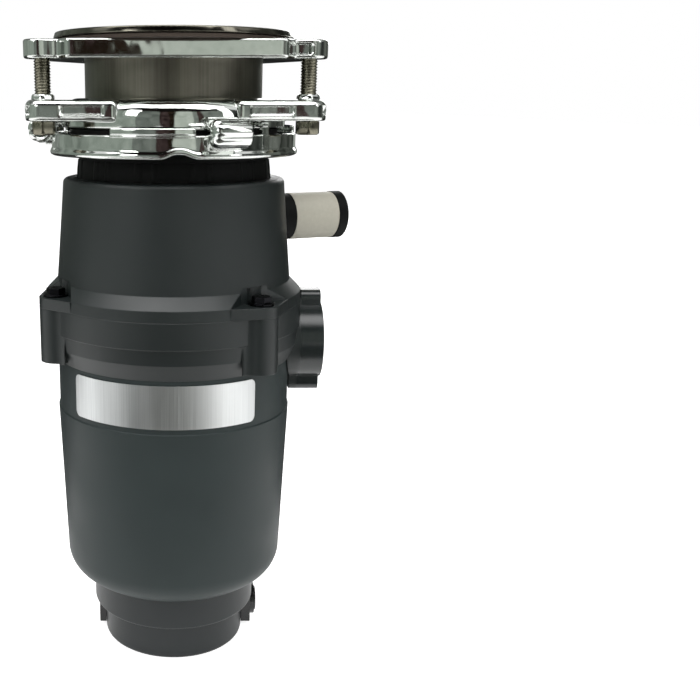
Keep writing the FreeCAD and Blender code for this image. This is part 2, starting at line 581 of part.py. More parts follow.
def base_electrics():
    """The rectifier board, the overload protector and its reset button."""
    floor = f"{END_CAP} + base_wall"
    board = block("Board", "board_length", "board_width", "board_thickness",
                  x="-board_length / 2", y="-board_width / 2 - 4", z=f"{floor} + 4")
    bridge = block("Bridge", "bridge_size", "bridge_size", 6, x="-bridge_size / 2", y="-bridge_size / 2 - 6",
                   z=f"{floor} + 4 + board_thickness - 0.2")
    legs = [cylinder(f"BoardLeg{index}", 2, 4.5, x=f"{side} * (board_length / 2 - 3)",
                     y=f"{end} * (board_width / 2 - 3) - 4", z=floor)
            for index, (side, end) in enumerate(((-1, -1), (-1, 1), (1, -1), (1, 1)))]
    part("rectifier_board", fuse("RectifierBoard", board, bridge, *legs))

    case = block("ProtectorCase", "protector_length", "protector_width", "foot_height - 9",
                 x="protector_x - protector_length / 2", y="protector_y - protector_width / 2", z=9)
    inside = common("ProtectorInside", case, cylinder(
        "ProtectorRoom", "foot_radius - base_wall - loose_gap", "foot_height"))
    bush = cylinder("ProtectorBush", "button_radius + button_collar + 2", "10 - base_wall",
                    x="protector_x", y="protector_y", z="base_wall")
    bore = cylinder("ProtectorBore", "button_radius + button_collar + loose_gap",
                    "foot_height - base_wall - 3", x="protector_x", y="protector_y", z="base_wall")
    post = cylinder("ProtectorPost", "base_screw_radius + 2.9", "foot_height", y="-base_screw_reach")
    solid = fuse("ProtectorSolid", inside, bush)
    part("overload_protector", cut("OverloadProtector", solid, bore, *around(post, SIXTY)))

    collar = cylinder("ButtonCollar", "button_radius + button_collar", "6.4 - loose_gap",
                      x="protector_x", y="protector_y", z="base_wall + loose_gap")
    stem = cylinder("ButtonStem", "button_radius", "base_wall + 2 - button_recess",
                    x="protector_x", y="protector_y", z="button_recess")
    part("reset_button", fuse("ResetButton", collar, stem))
    spring_bottom = "base_wall + 6.4 + coil_wire + 0.1"
    spring = coil("ResetCoil", f"foot_height - 3 - coil_wire - 0.1 - ({spring_bottom})",
                  "button_radius + button_collar - 1.2")
    seated = group("ResetSpring", [spring])
    part("reset_spring", place(seated, "protector_x", "protector_y", spring_bottom))


def lead_hole(name):
    """The hole for the motor's leads, from the base into the terminal box."""
    return cylinder(name, 3.5, 14, y="foot_radius - 8", z="foot_height / 2 + 1", axis="y")


def wiring():
    """The terminal box behind the base, its cover, ground screw and cable gland."""
    height = "foot_height - box_lift"
    outer = block("WiringOuter", "box_left + box_right", "box_back + box_front", height,
                  x="-box_left", y="-box_front", z="box_lift")
    edges = cylinder("WiringRound", "box_back + 12.5", height, z="box_lift")
    rounded = common("WiringRounded", outer, edges)
    cup = cylinder("WiringCup", "foot_radius + seat_gap", "foot_height + 2")
    inside = {"height": f"{height} - 2 * box_wall", "z": "box_lift + box_wall"}
    terminals = block("WiringTerminals", 52, "box_back", x=-26, y=25, **inside)
    channel = block("WiringChannel", "box_right - box_wall - 20", 34.5, x=20, y="box_front", **inside)
    room = cut("WiringRoom", fuse("WiringSpace", terminals, channel),
               cylinder("WiringInner", "foot_radius + box_wall", "foot_height"))
    lead = lead_hole("WiringLead")
    entry = cylinder("WiringEntry", "gland_bore + 2.2 + seat_gap", 40, x=20, y="gland_y",
                     z="box_lift + gland_radius", axis="x")
    pilot = cylinder("WiringPilot", "small_screw + seat_gap", 10, x=29.5, y="box_back - 7",
                     z="box_lift + foot_height / 2 - box_lift / 2", axis="y")
    pilots = [pilot, cylinder("WiringPilotLeft", "small_screw + seat_gap", 10, x=-29.5, y="box_back - 7",
                              z="box_lift + foot_height / 2 - box_lift / 2", axis="y")]
    part("wiring_box", cut("WiringBox", rounded, cup, room, lead, entry, *pilots))

    plate = block("CoverPlate", 66, "cover_thickness", f"{height} - 1", x=-33, y="box_back",
                  z="box_lift + 0.5")
    holes = [cylinder(f"CoverHole{index}", "small_screw + seat_gap", 10, x=x, y="box_back - 4",
                      z="box_lift + foot_height / 2 - box_lift / 2", axis="y")
             for index, x in enumerate((-29.5, 29.5))]
    ground = cylinder("CoverGround", "small_screw + seat_gap", 10, x=22, y="box_back - 4",
                      z="box_lift + foot_height / 2 - box_lift / 2", axis="y")
    part("wiring_cover", cut("WiringCover", plate, ground, *holes))

    screws = []
    for name, x in (("Left", -29.5), ("Right", 29.5), ("Ground", 22)):
        level = "box_lift + foot_height / 2 - box_lift / 2"
        reach = 6 if name != "Ground" else 3
        shank = cylinder(f"Cover{name}Shank", "small_screw", f"{reach} + cover_thickness", x=x,
                         y=f"box_back - {reach}", z=level, axis="y")
        head = cylinder(f"Cover{name}Head", "small_screw + 1.6", 1.6, x=x,
                        y="box_back + cover_thickness", z=level, axis="y")
        screws.append(fuse(f"Cover{name}Screw", shank, head))
    part("wiring_cover_screws", group("WiringCoverScrews", screws[:2]))
    part("ground_screw", screws[2])

    level = "box_lift + gland_radius"
    nut = cylinder("GlandNut", "gland_radius", "gland_nut", x="box_right", y="gland_y", z=level, axis="x")
    stem = cylinder("GlandStem", "gland_bore + 2.2", "3 + gland_nut + gland_tip", x="box_right - 3",
                    y="gland_y", z=level, axis="x")
    bore = cylinder("GlandBore", "gland_bore", 30, x="box_right - 6", y="gland_y", z=level, axis="x")
    part("cable_gland", cut("CableGland", fuse("GlandSolid", nut, stem), bore))


def tangent(x, y, reach, radius):
    """Angle of the normal at the far tangent from a point to a circle at (0, -reach), with y negative."""
    away = f"sqrt(pow({x}; 2) + pow(({reach}) + ({y}); 2))"
    return f"(atan2(({reach}) + ({y}); {x}) - acos(({radius}) / {away}))"


def drain_ears():
    """A boss under each ear, flared into the round wall on both sides."""
    bottom = f"{JOINT} - ear_depth"
    wall = f"({DRAIN_OUT} + ear_flare)"
    boss = "(ear_radius + ear_flare)"
    mid_y = f"((pow({wall}; 2) - pow({boss}; 2) + pow({EAR}; 2)) / (2 * {EAR}))"
    mid_x = f"sqrt(pow({wall}; 2) - pow({mid_y}; 2))"
    wall_x, wall_y = f"{mid_x} * {DRAIN_OUT} / {wall}", f"-{mid_y} * {DRAIN_OUT} / {wall}"
    boss_x = f"{mid_x} * ear_radius / {boss}"
    boss_y = f"-{EAR} - ({mid_y} - {EAR}) * ear_radius / {boss}"
    flare = raised("EarFlare", [
        (wall_x, wall_y), (boss_x, boss_y), (f"-({boss_x})", boss_y), (f"-({wall_x})", wall_y)],
        bottom, "ear_depth", {0: ("ear_flare", 1), 2: ("ear_flare", 1)})
    post = cylinder("EarPost", "ear_radius", "ear_depth", y=f"-{EAR}", z=bottom)
    return around(fuse("DrainEar", flare, post), EARS)


def outlet_shape(level):
    """The discharge outlet's barrel with a screw lug above and below, clear of the round walls."""
    barrel = cylinder("OutletBarrel", "outlet_radius", "outlet_reach - 45", x=45, z=level, axis="x")
    lugs = doc.addObject("Part::Fillet", "OutletLugs")
    lugs.Base = block("OutletLugBlock", "outlet_reach - 45 - 0.6", "outlet_lug_width",
                      "2 * outlet_lug_reach", x=45, y="-outlet_lug_width / 2",
                      z=f"{level} - outlet_lug_reach")
    doc.recompute()
    lugs.Edges = [(index, number("outlet_lug_round"), number("outlet_lug_round"))
                  for index, edge in enumerate(lugs.Base.Shape.Edges, start=1)
                  if abs(edge.tangentAt(edge.FirstParameter).x) > 0.99]
    clear_motor = cylinder("OutletClearMotor", f"{DRAIN_FOOT} + seat_gap", DRAIN)
    clear_hood = cylinder("OutletClearHood", "drain_rim_radius + seat_gap", 80, z=JOINT)
    return cut("OutletSolid", fuse("OutletShape", barrel, lugs), clear_motor, clear_hood)


def drain_housing():
    """The lower housing under the turntable, with a tilted drain floor and the discharge outlet."""
    tongue = "band_radius - shell_wall + 2 * seat_gap"
    floor = f"{DRAIN} + tongue_height"
    chamber_floor = f"{floor} + drain_floor"
    seal_out = "drain_rim_radius - drain_wall - 0.6"
    seal_in = f"{seal_out} - gasket_width"
    wall = turned("DrainWall", [
        (0, floor), (tongue, floor), (tongue, DRAIN), (DRAIN_FOOT, DRAIN),
        (f"{DRAIN_OUT} - 0.6", f"{DRAIN} + drain_slope"), (DRAIN_OUT, f"{DRAIN} + drain_step"),
        ("drain_rim_radius", f"{DRAIN} + drain_step + 0.4"), ("drain_rim_radius", JOINT), (0, JOINT)])
    groove = tube("DrainSealGroove", seal_in, seal_out, f"{JOINT} - gasket_height", f"{JOINT} + 1")
    room = cylinder("DrainRoom", "drain_rim_radius - drain_wall", "drain_height")
    room.Placement.Rotation = FreeCAD.Rotation(FreeCAD.Vector(0, 1, 0), 0)
    place(room, z=chamber_floor, turn="drain_tilt")
    below_lip = cylinder("DrainBelowLip", "2 * drain_rim_radius", f"{JOINT} - rim_lip")
    mouth = cylinder("DrainMouth", f"{CONTAINER} - container_wall - 1.4", "drain_height",
                     z=f"{JOINT} - rim_lip - 1")
    hub = turned("DrainHub", [
        (0, f"{floor} + 1"), ("drain_hub_radius + 3", f"{floor} + 1"),
        ("drain_hub_radius", f"{chamber_floor} + 3"), ("drain_hub_radius", f"{floor} + drain_hub_height"),
        (0, f"{floor} + drain_hub_height")])
    hollow = cut("DrainHollow", fuse("DrainSpace", common("DrainChamber", room, below_lip), mouth), hub)

    level = f"{JOINT} - outlet_drop"
    outlet = outlet_shape(level)
    # below the floor the outlet stays outside the tongue of the motor shell
    under_floor = cylinder("OutletUnderFloor", tongue, floor)
    bore_start = f"{DRAIN_FOOT} + 2.6"
    bore = cylinder("OutletBore", "outlet_bore", 40, x=bore_start, z=level, axis="x")
    gate = block("OutletGate", f"{bore_start} - 44 + 0.2", "2 * outlet_bore - 7",
                 f"outlet_bore - ({chamber_floor} - ({level})) - 0.6",
                 x=44, y="-outlet_bore + 3.5", z=chamber_floor)
    pilots = []
    for index, side in enumerate((-1, 1)):
        pilot = turned(f"OutletPilot{index}", [
            (0, 0), ("outlet_screw_radius", "outlet_screw_radius / 2"),
            ("outlet_screw_radius", "outlet_screw_depth + 1"), (0, "outlet_screw_depth + 1")])
        lie_along(pilot, "x")
        pilots.append(place(pilot, x="outlet_reach - outlet_screw_depth",
                            z=f"{level} + {side} * outlet_screw_reach"))
    ear_holes = around(cylinder("DrainEarHole", "ear_screw_radius + seat_gap", 30, y=f"-{EAR}",
                                z=f"{JOINT} - 22"), EARS)
    frame_taps = around(cylinder("DrainFrameTap", "frame_screw_radius + seat_gap", "tongue_height + 2.6",
                                 y="-frame_screw_reach", z=DRAIN), THREE)
    shaft_hole = cylinder("DrainShaftHole", "shaft_radius + 1.5", 60, z=DRAIN)
    seal_room = cylinder("DrainSealRoom", "seal_radius", "seal_height + 20",
                         z=f"{floor} + drain_hub_height - seal_height")
    solid = fuse("DrainSolid", wall, outlet, *drain_ears())
    part("drain_housing", cut("DrainHousing", solid, hollow, under_floor, groove, bore, gate, *pilots,
                              *ear_holes, *frame_taps, shaft_hole, seal_room))

    part("housing_seal", tube("HousingSeal", f"{seal_in} + seat_gap", f"{seal_out} - seat_gap",
                              f"{JOINT} - gasket_height", f"{JOINT} + 0.2"))
    seal_bottom = f"{floor} + drain_hub_height - seal_height"
    part("shaft_seal", turned("ShaftSeal", [
        ("shaft_radius + running_gap", f"{seal_bottom} + 3"), ("shaft_radius + 1.6", f"{seal_bottom} + 1.4"),
        ("shaft_radius + 1.6", seal_bottom), ("seal_radius - seat_gap", seal_bottom),
        ("seal_radius - seat_gap", f"{seal_bottom} + seal_height"),
        ("seal_radius - 2", f"{seal_bottom} + seal_height"), ("seal_radius - 2", f"{seal_bottom} + 3.4"),
        ("shaft_radius + 1.6", f"{seal_bottom} + 3.4"),
        ("shaft_radius + running_gap", f"{seal_bottom} + 4.4")]))


def housing_screws():
    """Three flanged hex screws through the hood's ears into the drain housing."""
    seat = f"{JOINT} + hood_band"
    shank = cylinder("HousingShank", "ear_screw_radius", 25, y=f"-{EAR}", z=f"{seat} - 25")
    flange = cylinder("HousingFlange", 6, 1.1, y=f"-{EAR}", z=seat)
    head = hexagon("HousingHead", 4.6, 4, y=f"-{EAR}", z=seat)
    screw = fuse("HousingScrew", shank, flange, head)
    part("housing_screws", group("HousingScrews", around(screw, EARS)))


def hood():
    """The outer hood: a skirt with three straight-sided ears, a short slope and a tapered wall."""
    skirt = "drain_rim_radius"
    inner = f"{skirt} - drain_wall + 0.5"
    top_in = f"{HOOD_CROWN} - hood_wall"
    opening = f"{NECK} + hood_gap"
    under = f"{HOOD_TOP} - hood_wall"
    ear_top = f"{JOINT} + hood_band"
    slope_foot = f"{ear_top} + hood_slope"
    thick = f"{EAR} - pad_radius - 1.4"
    wall = turned("HoodWall", [
        (inner, JOINT), (skirt, JOINT), (f"{skirt} - 0.4", ear_top), (HOOD, slope_foot),
        (HOOD_CROWN, f"{HOOD_TOP} - hood_round"), (f"{HOOD_CROWN} - hood_round", HOOD_TOP),
        (opening, HOOD_TOP), (opening, under), (top_in, under),
        (f"{HOOD} - hood_wall", f"{ear_top} + pad_height + 2.4"), (thick, f"{ear_top} + pad_height + 0.8"),
        (thick, f"{JOINT} + container_flange + 0.5"), (inner, f"{JOINT} + container_flange + 0.5")],
        {4: ("hood_round", 1)})
    foot_x, foot_y = f"{skirt} * sin(ear_foot_angle)", f"-{skirt} * cos(ear_foot_angle)"
    normal = tangent(foot_x, foot_y, EAR, "ear_radius")
    end_x, end_y = f"ear_radius * cos({normal})", f"-{EAR} + ear_radius * sin({normal})"
    ear_web = raised("HoodEarWeb", [
        (foot_x, foot_y), (f"-({foot_x})", foot_y), (f"-({end_x})", end_y), (end_x, end_y)],
        JOINT, "hood_band")
    ear = fuse("HoodEar", ear_web, cylinder("HoodEarEnd", "ear_radius", "hood_band", y=f"-{EAR}", z=JOINT))
    hollow = cylinder("HoodEarHollow", inner, "container_flange + 0.5", z=JOINT)
    ears = cut("HoodEars", fuse("HoodEarsSolid", *around(ear, EARS)), hollow)
    # a flat seat for each screw, cut out of the slope above the ear
    pad = cylinder("HoodPad", "pad_radius", "pad_height", y=f"-{EAR}", z=ear_top)
    seat = raised("HoodSeat", [
        (f"{foot_x} + 0.7", foot_y), ("pad_radius + 1.9", f"-{EAR} + 4.8"),
        ("-pad_radius - 1.9", f"-{EAR} + 4.8"), (f"-({foot_x}) - 0.7", foot_y),
        ("-pad_radius - 4", f"-{EAR} - 12"), ("pad_radius + 4", f"-{EAR} - 12")], ear_top, "pad_height")
    hole = cylinder("HoodScrewHole", "ear_screw_radius + loose_gap", 30, y=f"-{EAR}", z=f"{JOINT} - 5")
    part("hood", cut("Hood", fuse("HoodSolid", wall, ears),
                     inlet_tool("HoodInlet", "inlet_radius + loose_gap"),
                     *around(fuse("HoodSeatRoom", pad, seat), EARS), *around(hole, EARS)))


def inlet_tool(name, radius):
    """A cylinder along the dishwasher inlet's axis, from inside the grind container outwards."""
    tool = cylinder(name + "Along", radius, "inlet_reach", x=f"{CONTAINER_TOP} - 10",
                    z=f"{JOINT} + inlet_rise", axis="x")
    return around(tool, ("inlet_angle - 90",))[0]


def grind_container():
    """The grind chamber's wall and its neck, with a bead that holds the cushion."""
    seat = f"{JOINT} + 0.2"
    ring_out = f"{CONTAINER} - container_wall"
    shoulder = f"{HOOD_TOP} - shoulder_drop"
    bead = f"{LOCK} + lock_lip + 0.6"
    wall = turned("ContainerWall", [
        (ring_out, seat), ("drain_rim_radius - drain_wall", seat),
        ("drain_rim_radius - drain_wall", f"{seat} + container_flange"),
        (CONTAINER, f"{seat} + container_flange"), (CONTAINER_TOP, shoulder),
        (NECK, f"{HOOD_TOP} - 4"), (NECK, HOOD_TOP), (NECK_TOP, f"{LOCK} - 3"),
        (NECK_TOP, bead), (NECK_BEAD, bead), (NECK_BEAD, f"{bead} + bead_height"),
        (NECK_BORE, f"{bead} + bead_height"), (NECK_BORE, f"{HOOD_TOP} + 1"),
        (f"{CONTAINER_TOP} - container_wall", f"{shoulder} - 2"),
        (f"{ring_out} - 1.3", f"{seat} + ring_height + 0.4"), (ring_out, f"{seat} + ring_height + 0.4")])
    part("grind_container", cut("GrindContainer", wall,
                                inlet_tool("ContainerInlet", "inlet_radius + seat_gap")))
    bottom, top = f"{JOINT} + 16", f"{JOINT} + 16 + foam_height"
    lean = f"({CONTAINER} - {CONTAINER_TOP}) / (hood_height - shoulder_drop - container_flange)"
    taper = "hood_draft / (hood_height - hood_band - hood_slope - hood_round)"
    foot = f"{CONTAINER} - {lean} * 12 + 0.5"
    outer_foot = f"{HOOD} - hood_wall - {taper} * 6 - 0.5"
    foam = turned("FoamSleeve", [
        (foot, bottom), (outer_foot, bottom), (f"{outer_foot} - {taper} * foam_height", top),
        (f"{foot} - {lean} * foam_height", top)])
    part("sound_foam", cut("SoundFoam", foam, inlet_tool("FoamInlet", "inlet_radius + loose_gap")))


def shredder_ring():
    """The fixed steel ring around the turntable, notched at its foot."""
    inner = f"{SHREDDER} - ring_thickness"
    ring = tube("ShredderTube", inner, SHREDDER, f"{JOINT} + 0.2", f"{JOINT} + 0.2 + ring_height")
    notch = block("ShredderNotch", 10, "ring_slot_width", "ring_slot_height", x=f"{inner} - 3",
                  y="-ring_slot_width / 2", z=f"{TABLE} - 1")
    part("shredder_ring", cut("ShredderRing", ring, *around(notch, evenly("ring_slots"))))


def turntable():
    """The turntable with its nut, slinger and the rivets of the two swivel lugs."""
    top = f"{TABLE} + table_thickness"
    disc = turned("TableDisc", [
        ("shaft_tip_radius + running_gap", f"{TABLE} - 2.2"), ("table_hub_radius", f"{TABLE} - 2.2"),
        ("table_hub_radius", TABLE), (TABLE_OUT, TABLE), (TABLE_OUT, top),
        ("shaft_tip_radius + running_gap", top)])
    hole = cylinder("TableHole", 2.6, 20, y=-38, z=f"{TABLE} - 8")
    rivet_hole = cylinder("TableRivetHole", "rivet_radius + running_gap", 20, x=PIVOT,
                          z=f"{TABLE} - 8")
    part("turntable", cut("Turntable", disc, *around(hole, ("0", "45", "-45", "180", "135", "225")),
                          *around(rivet_hole, ("0", "180"))))
    flange = cylinder("NutFlange", "nut_radius + 1.4", 1.4, z=top)
    hexa = hexagon("NutHex", "nut_radius", "nut_height", z=top)
    bore = cylinder("NutBore", "shaft_tip_radius + running_gap", 30, z=f"{top} - 5")
    part("turntable_nut", cut("TurntableNut", fuse("NutSolid", flange, hexa), bore))
    hub_top = f"{DRAIN} + tongue_height + drain_hub_height"
    part("water_slinger", tube("WaterSlinger", "shaft_radius + running_gap", "slinger_radius",
                               f"{hub_top} + 0.8", f"{hub_top} + 0.8 + slinger_height"))


def swivel_lugs():
    """Two lugs that swing on their rivets above the turntable."""
    top = f"{TABLE} + table_thickness"
    pin = cylinder("RivetPin", "rivet_radius", "table_thickness + lug_plate + 2.2", x=PIVOT,
                   z=f"{TABLE} - 1.2")
    cap = cylinder("RivetCap", "rivet_head", 1.9, x=PIVOT, z=f"{top} + lug_plate + 0.6")
    tail = cylinder("RivetTail", "rivet_head - 1", 1.3, x=PIVOT, z=f"{TABLE} - 1.3")
    part("lug_rivets", group("LugRivets", around(fuse("LugRivet", pin, cap, tail), ("0", "180"))))

    seat = f"{top} + 0.3"
    eye = cylinder("LugEye", "lug_width / 2 + 0.6", "lug_plate", x=PIVOT, z=seat)
    plate = block("LugPlate", f"{LUG_OUT} - {PIVOT} + 2", "lug_width", "lug_plate", x=PIVOT,
                  y="-lug_width / 2", z=seat)
    head = block("LugHead", "lug_block + 2", "lug_width", "lug_height", x=f"{LUG_OUT} - lug_block",
                 y="-lug_width / 2", z=seat)
    limit = cylinder("LugLimit", LUG_OUT, 40, z=f"{TABLE} - 5")
    bore = cylinder("LugBore", "rivet_radius + running_gap", 40, x=PIVOT, z=f"{TABLE} - 8")
    lug = cut("Lug", common("LugInside", fuse("LugSolid", eye, plate, head), limit), bore)
    for index, copy in enumerate(around(lug, ("0", "180")), start=1):
        part(f"swivel_lug_{index}", copy)


def dishwasher_inlet():
    """The inlet tube through the hood, its knock-out plug and a paper band."""
    level = f"{JOINT} + inlet_rise"
    start = f"{CONTAINER_TOP} - container_wall + 1.6"
    ledge = f"{HOOD} + 0.7"
    barrel = cylinder("InletTube", "inlet_radius", f"inlet_reach - ({start})", x=start, z=level, axis="x")
    bead = cylinder("InletBead", "inlet_radius + 0.5", "inlet_bead", x="inlet_reach - inlet_bead",
                    z=level, axis="x")
    bore = cylinder("InletBore", "inlet_bore", "inlet_reach", x=ledge, z=level, axis="x")
    door = cylinder("InletDoor", "inlet_bore - plug_ledge", f"{ledge} - ({start}) + 2", x=f"{start} - 1",
                    z=level, axis="x")
    solid = cut("InletSolid", fuse("InletShape", barrel, bead), bore, door)
    part("dishwasher_inlet", around(solid, ("inlet_angle - 90",))[0])
    plug = cylinder("InletPlug", "inlet_bore - plug_ledge - seat_gap", "plug_thickness", x=start,
                    z=level, axis="x")
    part("inlet_plug", around(plug, ("inlet_angle - 90",))[0])
    label_start = "inlet_reach - inlet_bead - 0.2 - label_length"
    paper = cylinder("LabelPaper", "inlet_radius + label_thickness + 0.02", "label_length", x=label_start,
                     z=level, axis="x")
    hollow = cylinder("LabelHollow", "inlet_radius + 0.02", "label_length + 4", x=f"{label_start} - 2",
                      z=level, axis="x")
    part("inlet_label", around(cut("InletLabel", paper, hollow), ("inlet_angle - 90",))[0])


def cushion():
    """The rubber cushion that snaps over the container's bead, and the splash guard on its shelf."""
    lip_top = f"{LOCK} + lock_lip"
    bead_top = f"{lip_top} + 0.6 + bead_height"
    shelf_top = f"{bead_top} + shelf_height"
    top = f"{MOUNT} - 0.5"
    groove = "throat_radius + 0.4"
    waist = f"{LOCK_HOLE} - 0.3"
    flange = f"{LOCK_HOLE} + cushion_flange"
    part("mounting_cushion", turned("MountingCushion", [
        (f"{NECK_TOP} + 0.3", f"{LOCK} + 0.4"), (waist, f"{LOCK} + 0.4"), (waist, f"{lip_top} + 0.3"),
        (flange, f"{lip_top} + 0.3"), (flange, f"{lip_top} + 0.3 + cushion_step"),
        (f"{groove} + 7.1", f"{top} - 3.4"), (f"{groove} + 7.1", top), (f"{groove} + 2.3", top),
        (f"{groove} + 2.3", f"{top} - 1.8"), (groove, f"{top} - 1.8"), (groove, shelf_top),
        (SHELF, shelf_top), (SHELF, f"{bead_top} + 0.3"), (f"{NECK_BEAD} + 0.3", f"{bead_top} + 0.3"),
        (f"{NECK_BEAD} + 0.3", f"{lip_top} + 0.3"), (f"{NECK_TOP} + 0.3", f"{lip_top} + 0.3")]))
    wall_out = f"{THROAT_IN} - 0.3"
    guard = turned("GuardCone", [
        (f"{SHELF} - 0.4", f"{shelf_top} - 0.9"), (f"{SHELF} - 0.4", shelf_top), (wall_out, shelf_top),
        (wall_out, f"{shelf_top} + guard_thickness - 0.5"),
        (f"{wall_out} - 3", f"{shelf_top} + guard_thickness - 0.5"),
        ("guard_opening", f"{shelf_top} - 4 + guard_thickness"), ("guard_opening", f"{shelf_top} - 4")])
    slit = block("GuardSlit", f"{SHELF} - 5 - guard_opening + 3", "guard_slit", 30, x="guard_opening - 3",
                 y="-guard_slit / 2", z=f"{shelf_top} - 20")
    part("splash_guard", cut("SplashGuard", guard, *around(slit, evenly("guard_slits"))))


def turned_with_mount(name, item):
    """The item turned about Z with the rest of the sink mount."""
    return part(name, around(item, ("mount_angle",))[0])


def sink_flange():
    """The sink flange with its throat, the fibre gasket and the snap ring."""
    bottom = f"{MOUNT} - 2.7"
    ring = f"{MOUNT} - 0.3"
    groove = "throat_radius - snap_groove"
    under = f"{RIM} + fibre_thickness"
    rim_in = "rim_radius - rim_lip_width"
    top = f"{RIM} + rim_height"
    dish = f"{under} + 1.5"
    part("sink_flange", turned("SinkFlange", [
        (THROAT_IN, bottom), ("throat_radius", bottom), ("throat_radius", f"{ring} - snap_wire - 0.2"),
        (groove, f"{ring} - snap_wire - 0.2"), (groove, ring), ("throat_radius", ring),
        ("throat_radius", f"{RIM} - 0.6"), ("throat_radius + 1.5", under), (rim_in, under),
        (rim_in, f"{under} - 0.9"), ("rim_radius", f"{under} - 0.5"), ("rim_radius", f"{top} - 0.8"),
        ("rim_radius - 0.8", top), ("rim_radius - 2.6", top), ("(rim_radius + throat_radius) / 2", dish),
        ("throat_radius + 2", dish), (THROAT_IN, f"{RIM} - 0.2")], {11: ("0.8", 1)}))
    part("fibre_gasket", tube("FibreGasket", "throat_radius + 1.9", "rim_radius - fibre_inset", RIM, under))
    wire = tube("SnapWire", f"{groove} + 0.05", f"{groove} + 2.2", f"{ring} - snap_wire", ring)
    split = block("SnapSplit", "snap_split", 20, 10, x="-snap_split / 2", y="-throat_radius - 10",
                  z=f"{MOUNT} - 6")
    part("snap_ring", cut("SnapRing", wire, split))


def mounting_ring():
    """The ring held by the snap ring: a domed centre, three arms for the jack screws and three tabs."""
    bore = "throat_radius + mount_clearance"
    wall = f"{LOCK_IN} - mount_inset"
    cone = "throat_radius + cone_wall"
    shoulder = f"{MOUNT} + mount_wall_height"
    top = f"{MOUNT} + mount_height"
    centre = turned("MountCentre", [
        (bore, MOUNT), (wall, MOUNT), (wall, f"{shoulder} - 1.2"), (f"{wall} - 1.2", shoulder),
        (cone, f"{top} - 0.6"), (f"{cone} - 0.6", top), (bore, top)], {2: ("1.2", 1)})
    arm_bottom = f"{MOUNT} + arm_lift"
    side_x = f"({wall} - arm_inset) * sin(arm_angle)"
    side_y = f"({wall} - arm_inset) * cos(arm_angle)"
    normal = tangent(side_x, f"-{side_y}", JACK, "jack_boss - arm_round")
    boss_x, boss_y = f"jack_boss * cos({normal})", f"-{JACK} + jack_boss * sin({normal})"
    end_x, end_y = f"{side_x} + arm_round * cos({normal})", f"-{side_y} + arm_round * sin({normal})"
    arm_plan = raised("ArmPlan", [
        (boss_x, boss_y), (end_x, end_y), (0, "-throat_radius - 4"), (f"-({end_x})", end_y),
        (f"-{boss_x}", boss_y)], arm_bottom, "arm_height")
    ends = [cylinder(f"ArmEnd{index}", "arm_round", "arm_height", x=f"{side} * {side_x}", y=f"-{side_y}",
                     z=arm_bottom) for index, side in enumerate((-1, 1))]
    boss = cylinder("ArmBoss", "jack_boss", "arm_height", y=f"-{JACK}", z=arm_bottom)
    collar = hexagon("ArmCollar", "jack_collar", "arm_height + jack_collar_height", y=f"-{JACK}",
                     z=arm_bottom)
    arm = fuse("Arm", arm_plan, boss, collar, *ends)
    tab = cylinder("TabSector", f"{LOCK_IN} - 0.4", "tab_thickness", z=MOUNT, sector="tab_angle")
    tabs = around(tab, [f"hook_place_angle + {turn} - tab_angle / 2 - 90" for turn in THREE])
    hollow = cylinder("MountBore", bore, 60, z=f"{MOUNT} - 20")
    hole = cylinder("JackHole", "jack_radius + seat_gap", 40, y=f"-{JACK}", z=f"{MOUNT} - 5")
    solid = fuse("MountSolid", centre, *around(arm, SIXTY), *tabs)
    turned_with_mount("mounting_ring", cut("MountingRing", solid, hollow, *around(hole, SIXTY)))


def mounting_screws():
    """Three jack screws that press the backup ring up against the sink."""
    under = f"{MOUNT} + arm_lift"
    rod = cylinder("JackRod", "jack_radius", f"({BACKUP} + 1.9) - ({under})", y=f"-{JACK}", z=under)
    head = hexagon("JackHead", "jack_head", "jack_head_height", y=f"-{JACK}",
                   z=f"{under} - jack_head_height")
    screw = fuse("Jack", rod, head)
    turned_with_mount("mounting_screws", group("MountingScrews", around(screw, SIXTY)))


def backup_ring():
    """The thick ring under the sink: a six-sided bar with three ears for the jack screws."""
    bar = "(throat_radius + bar_width)"
    corner = f"({JACK} - corner_inset - {bar} * cos(60)) / sin(60)"
    corners = []
    for turn in THREE:
        for side in (-1, 1):
            corners.append((f"{side} * ({corner}) * cos({turn}) + {bar} * sin({turn})",
                            f"{side} * ({corner}) * sin({turn}) - {bar} * cos({turn})"))
    plan = raised("BackupPlan", corners, BACKUP, "backup_height")
    boss = cylinder("BackupBoss", "jack_boss", "backup_height", y=f"-{JACK}", z=BACKUP)
    neck = block("BackupNeck", "2 * jack_boss", 16, "backup_height", x="-jack_boss", y=f"-{JACK}", z=BACKUP)
    bore = cylinder("BackupBore", "throat_radius + mount_clearance", 60, z=f"{BACKUP} - 20")
    dimple = cylinder("BackupDimple", "jack_radius + 0.2", 2, y=f"-{JACK}", z=BACKUP)
    ears = around(fuse("BackupEar", boss, neck), SIXTY)
    turned_with_mount("backup_ring", cut("BackupRing", fuse("BackupSolid", plan, *ears), bore,
                                         *around(dimple, SIXTY)))


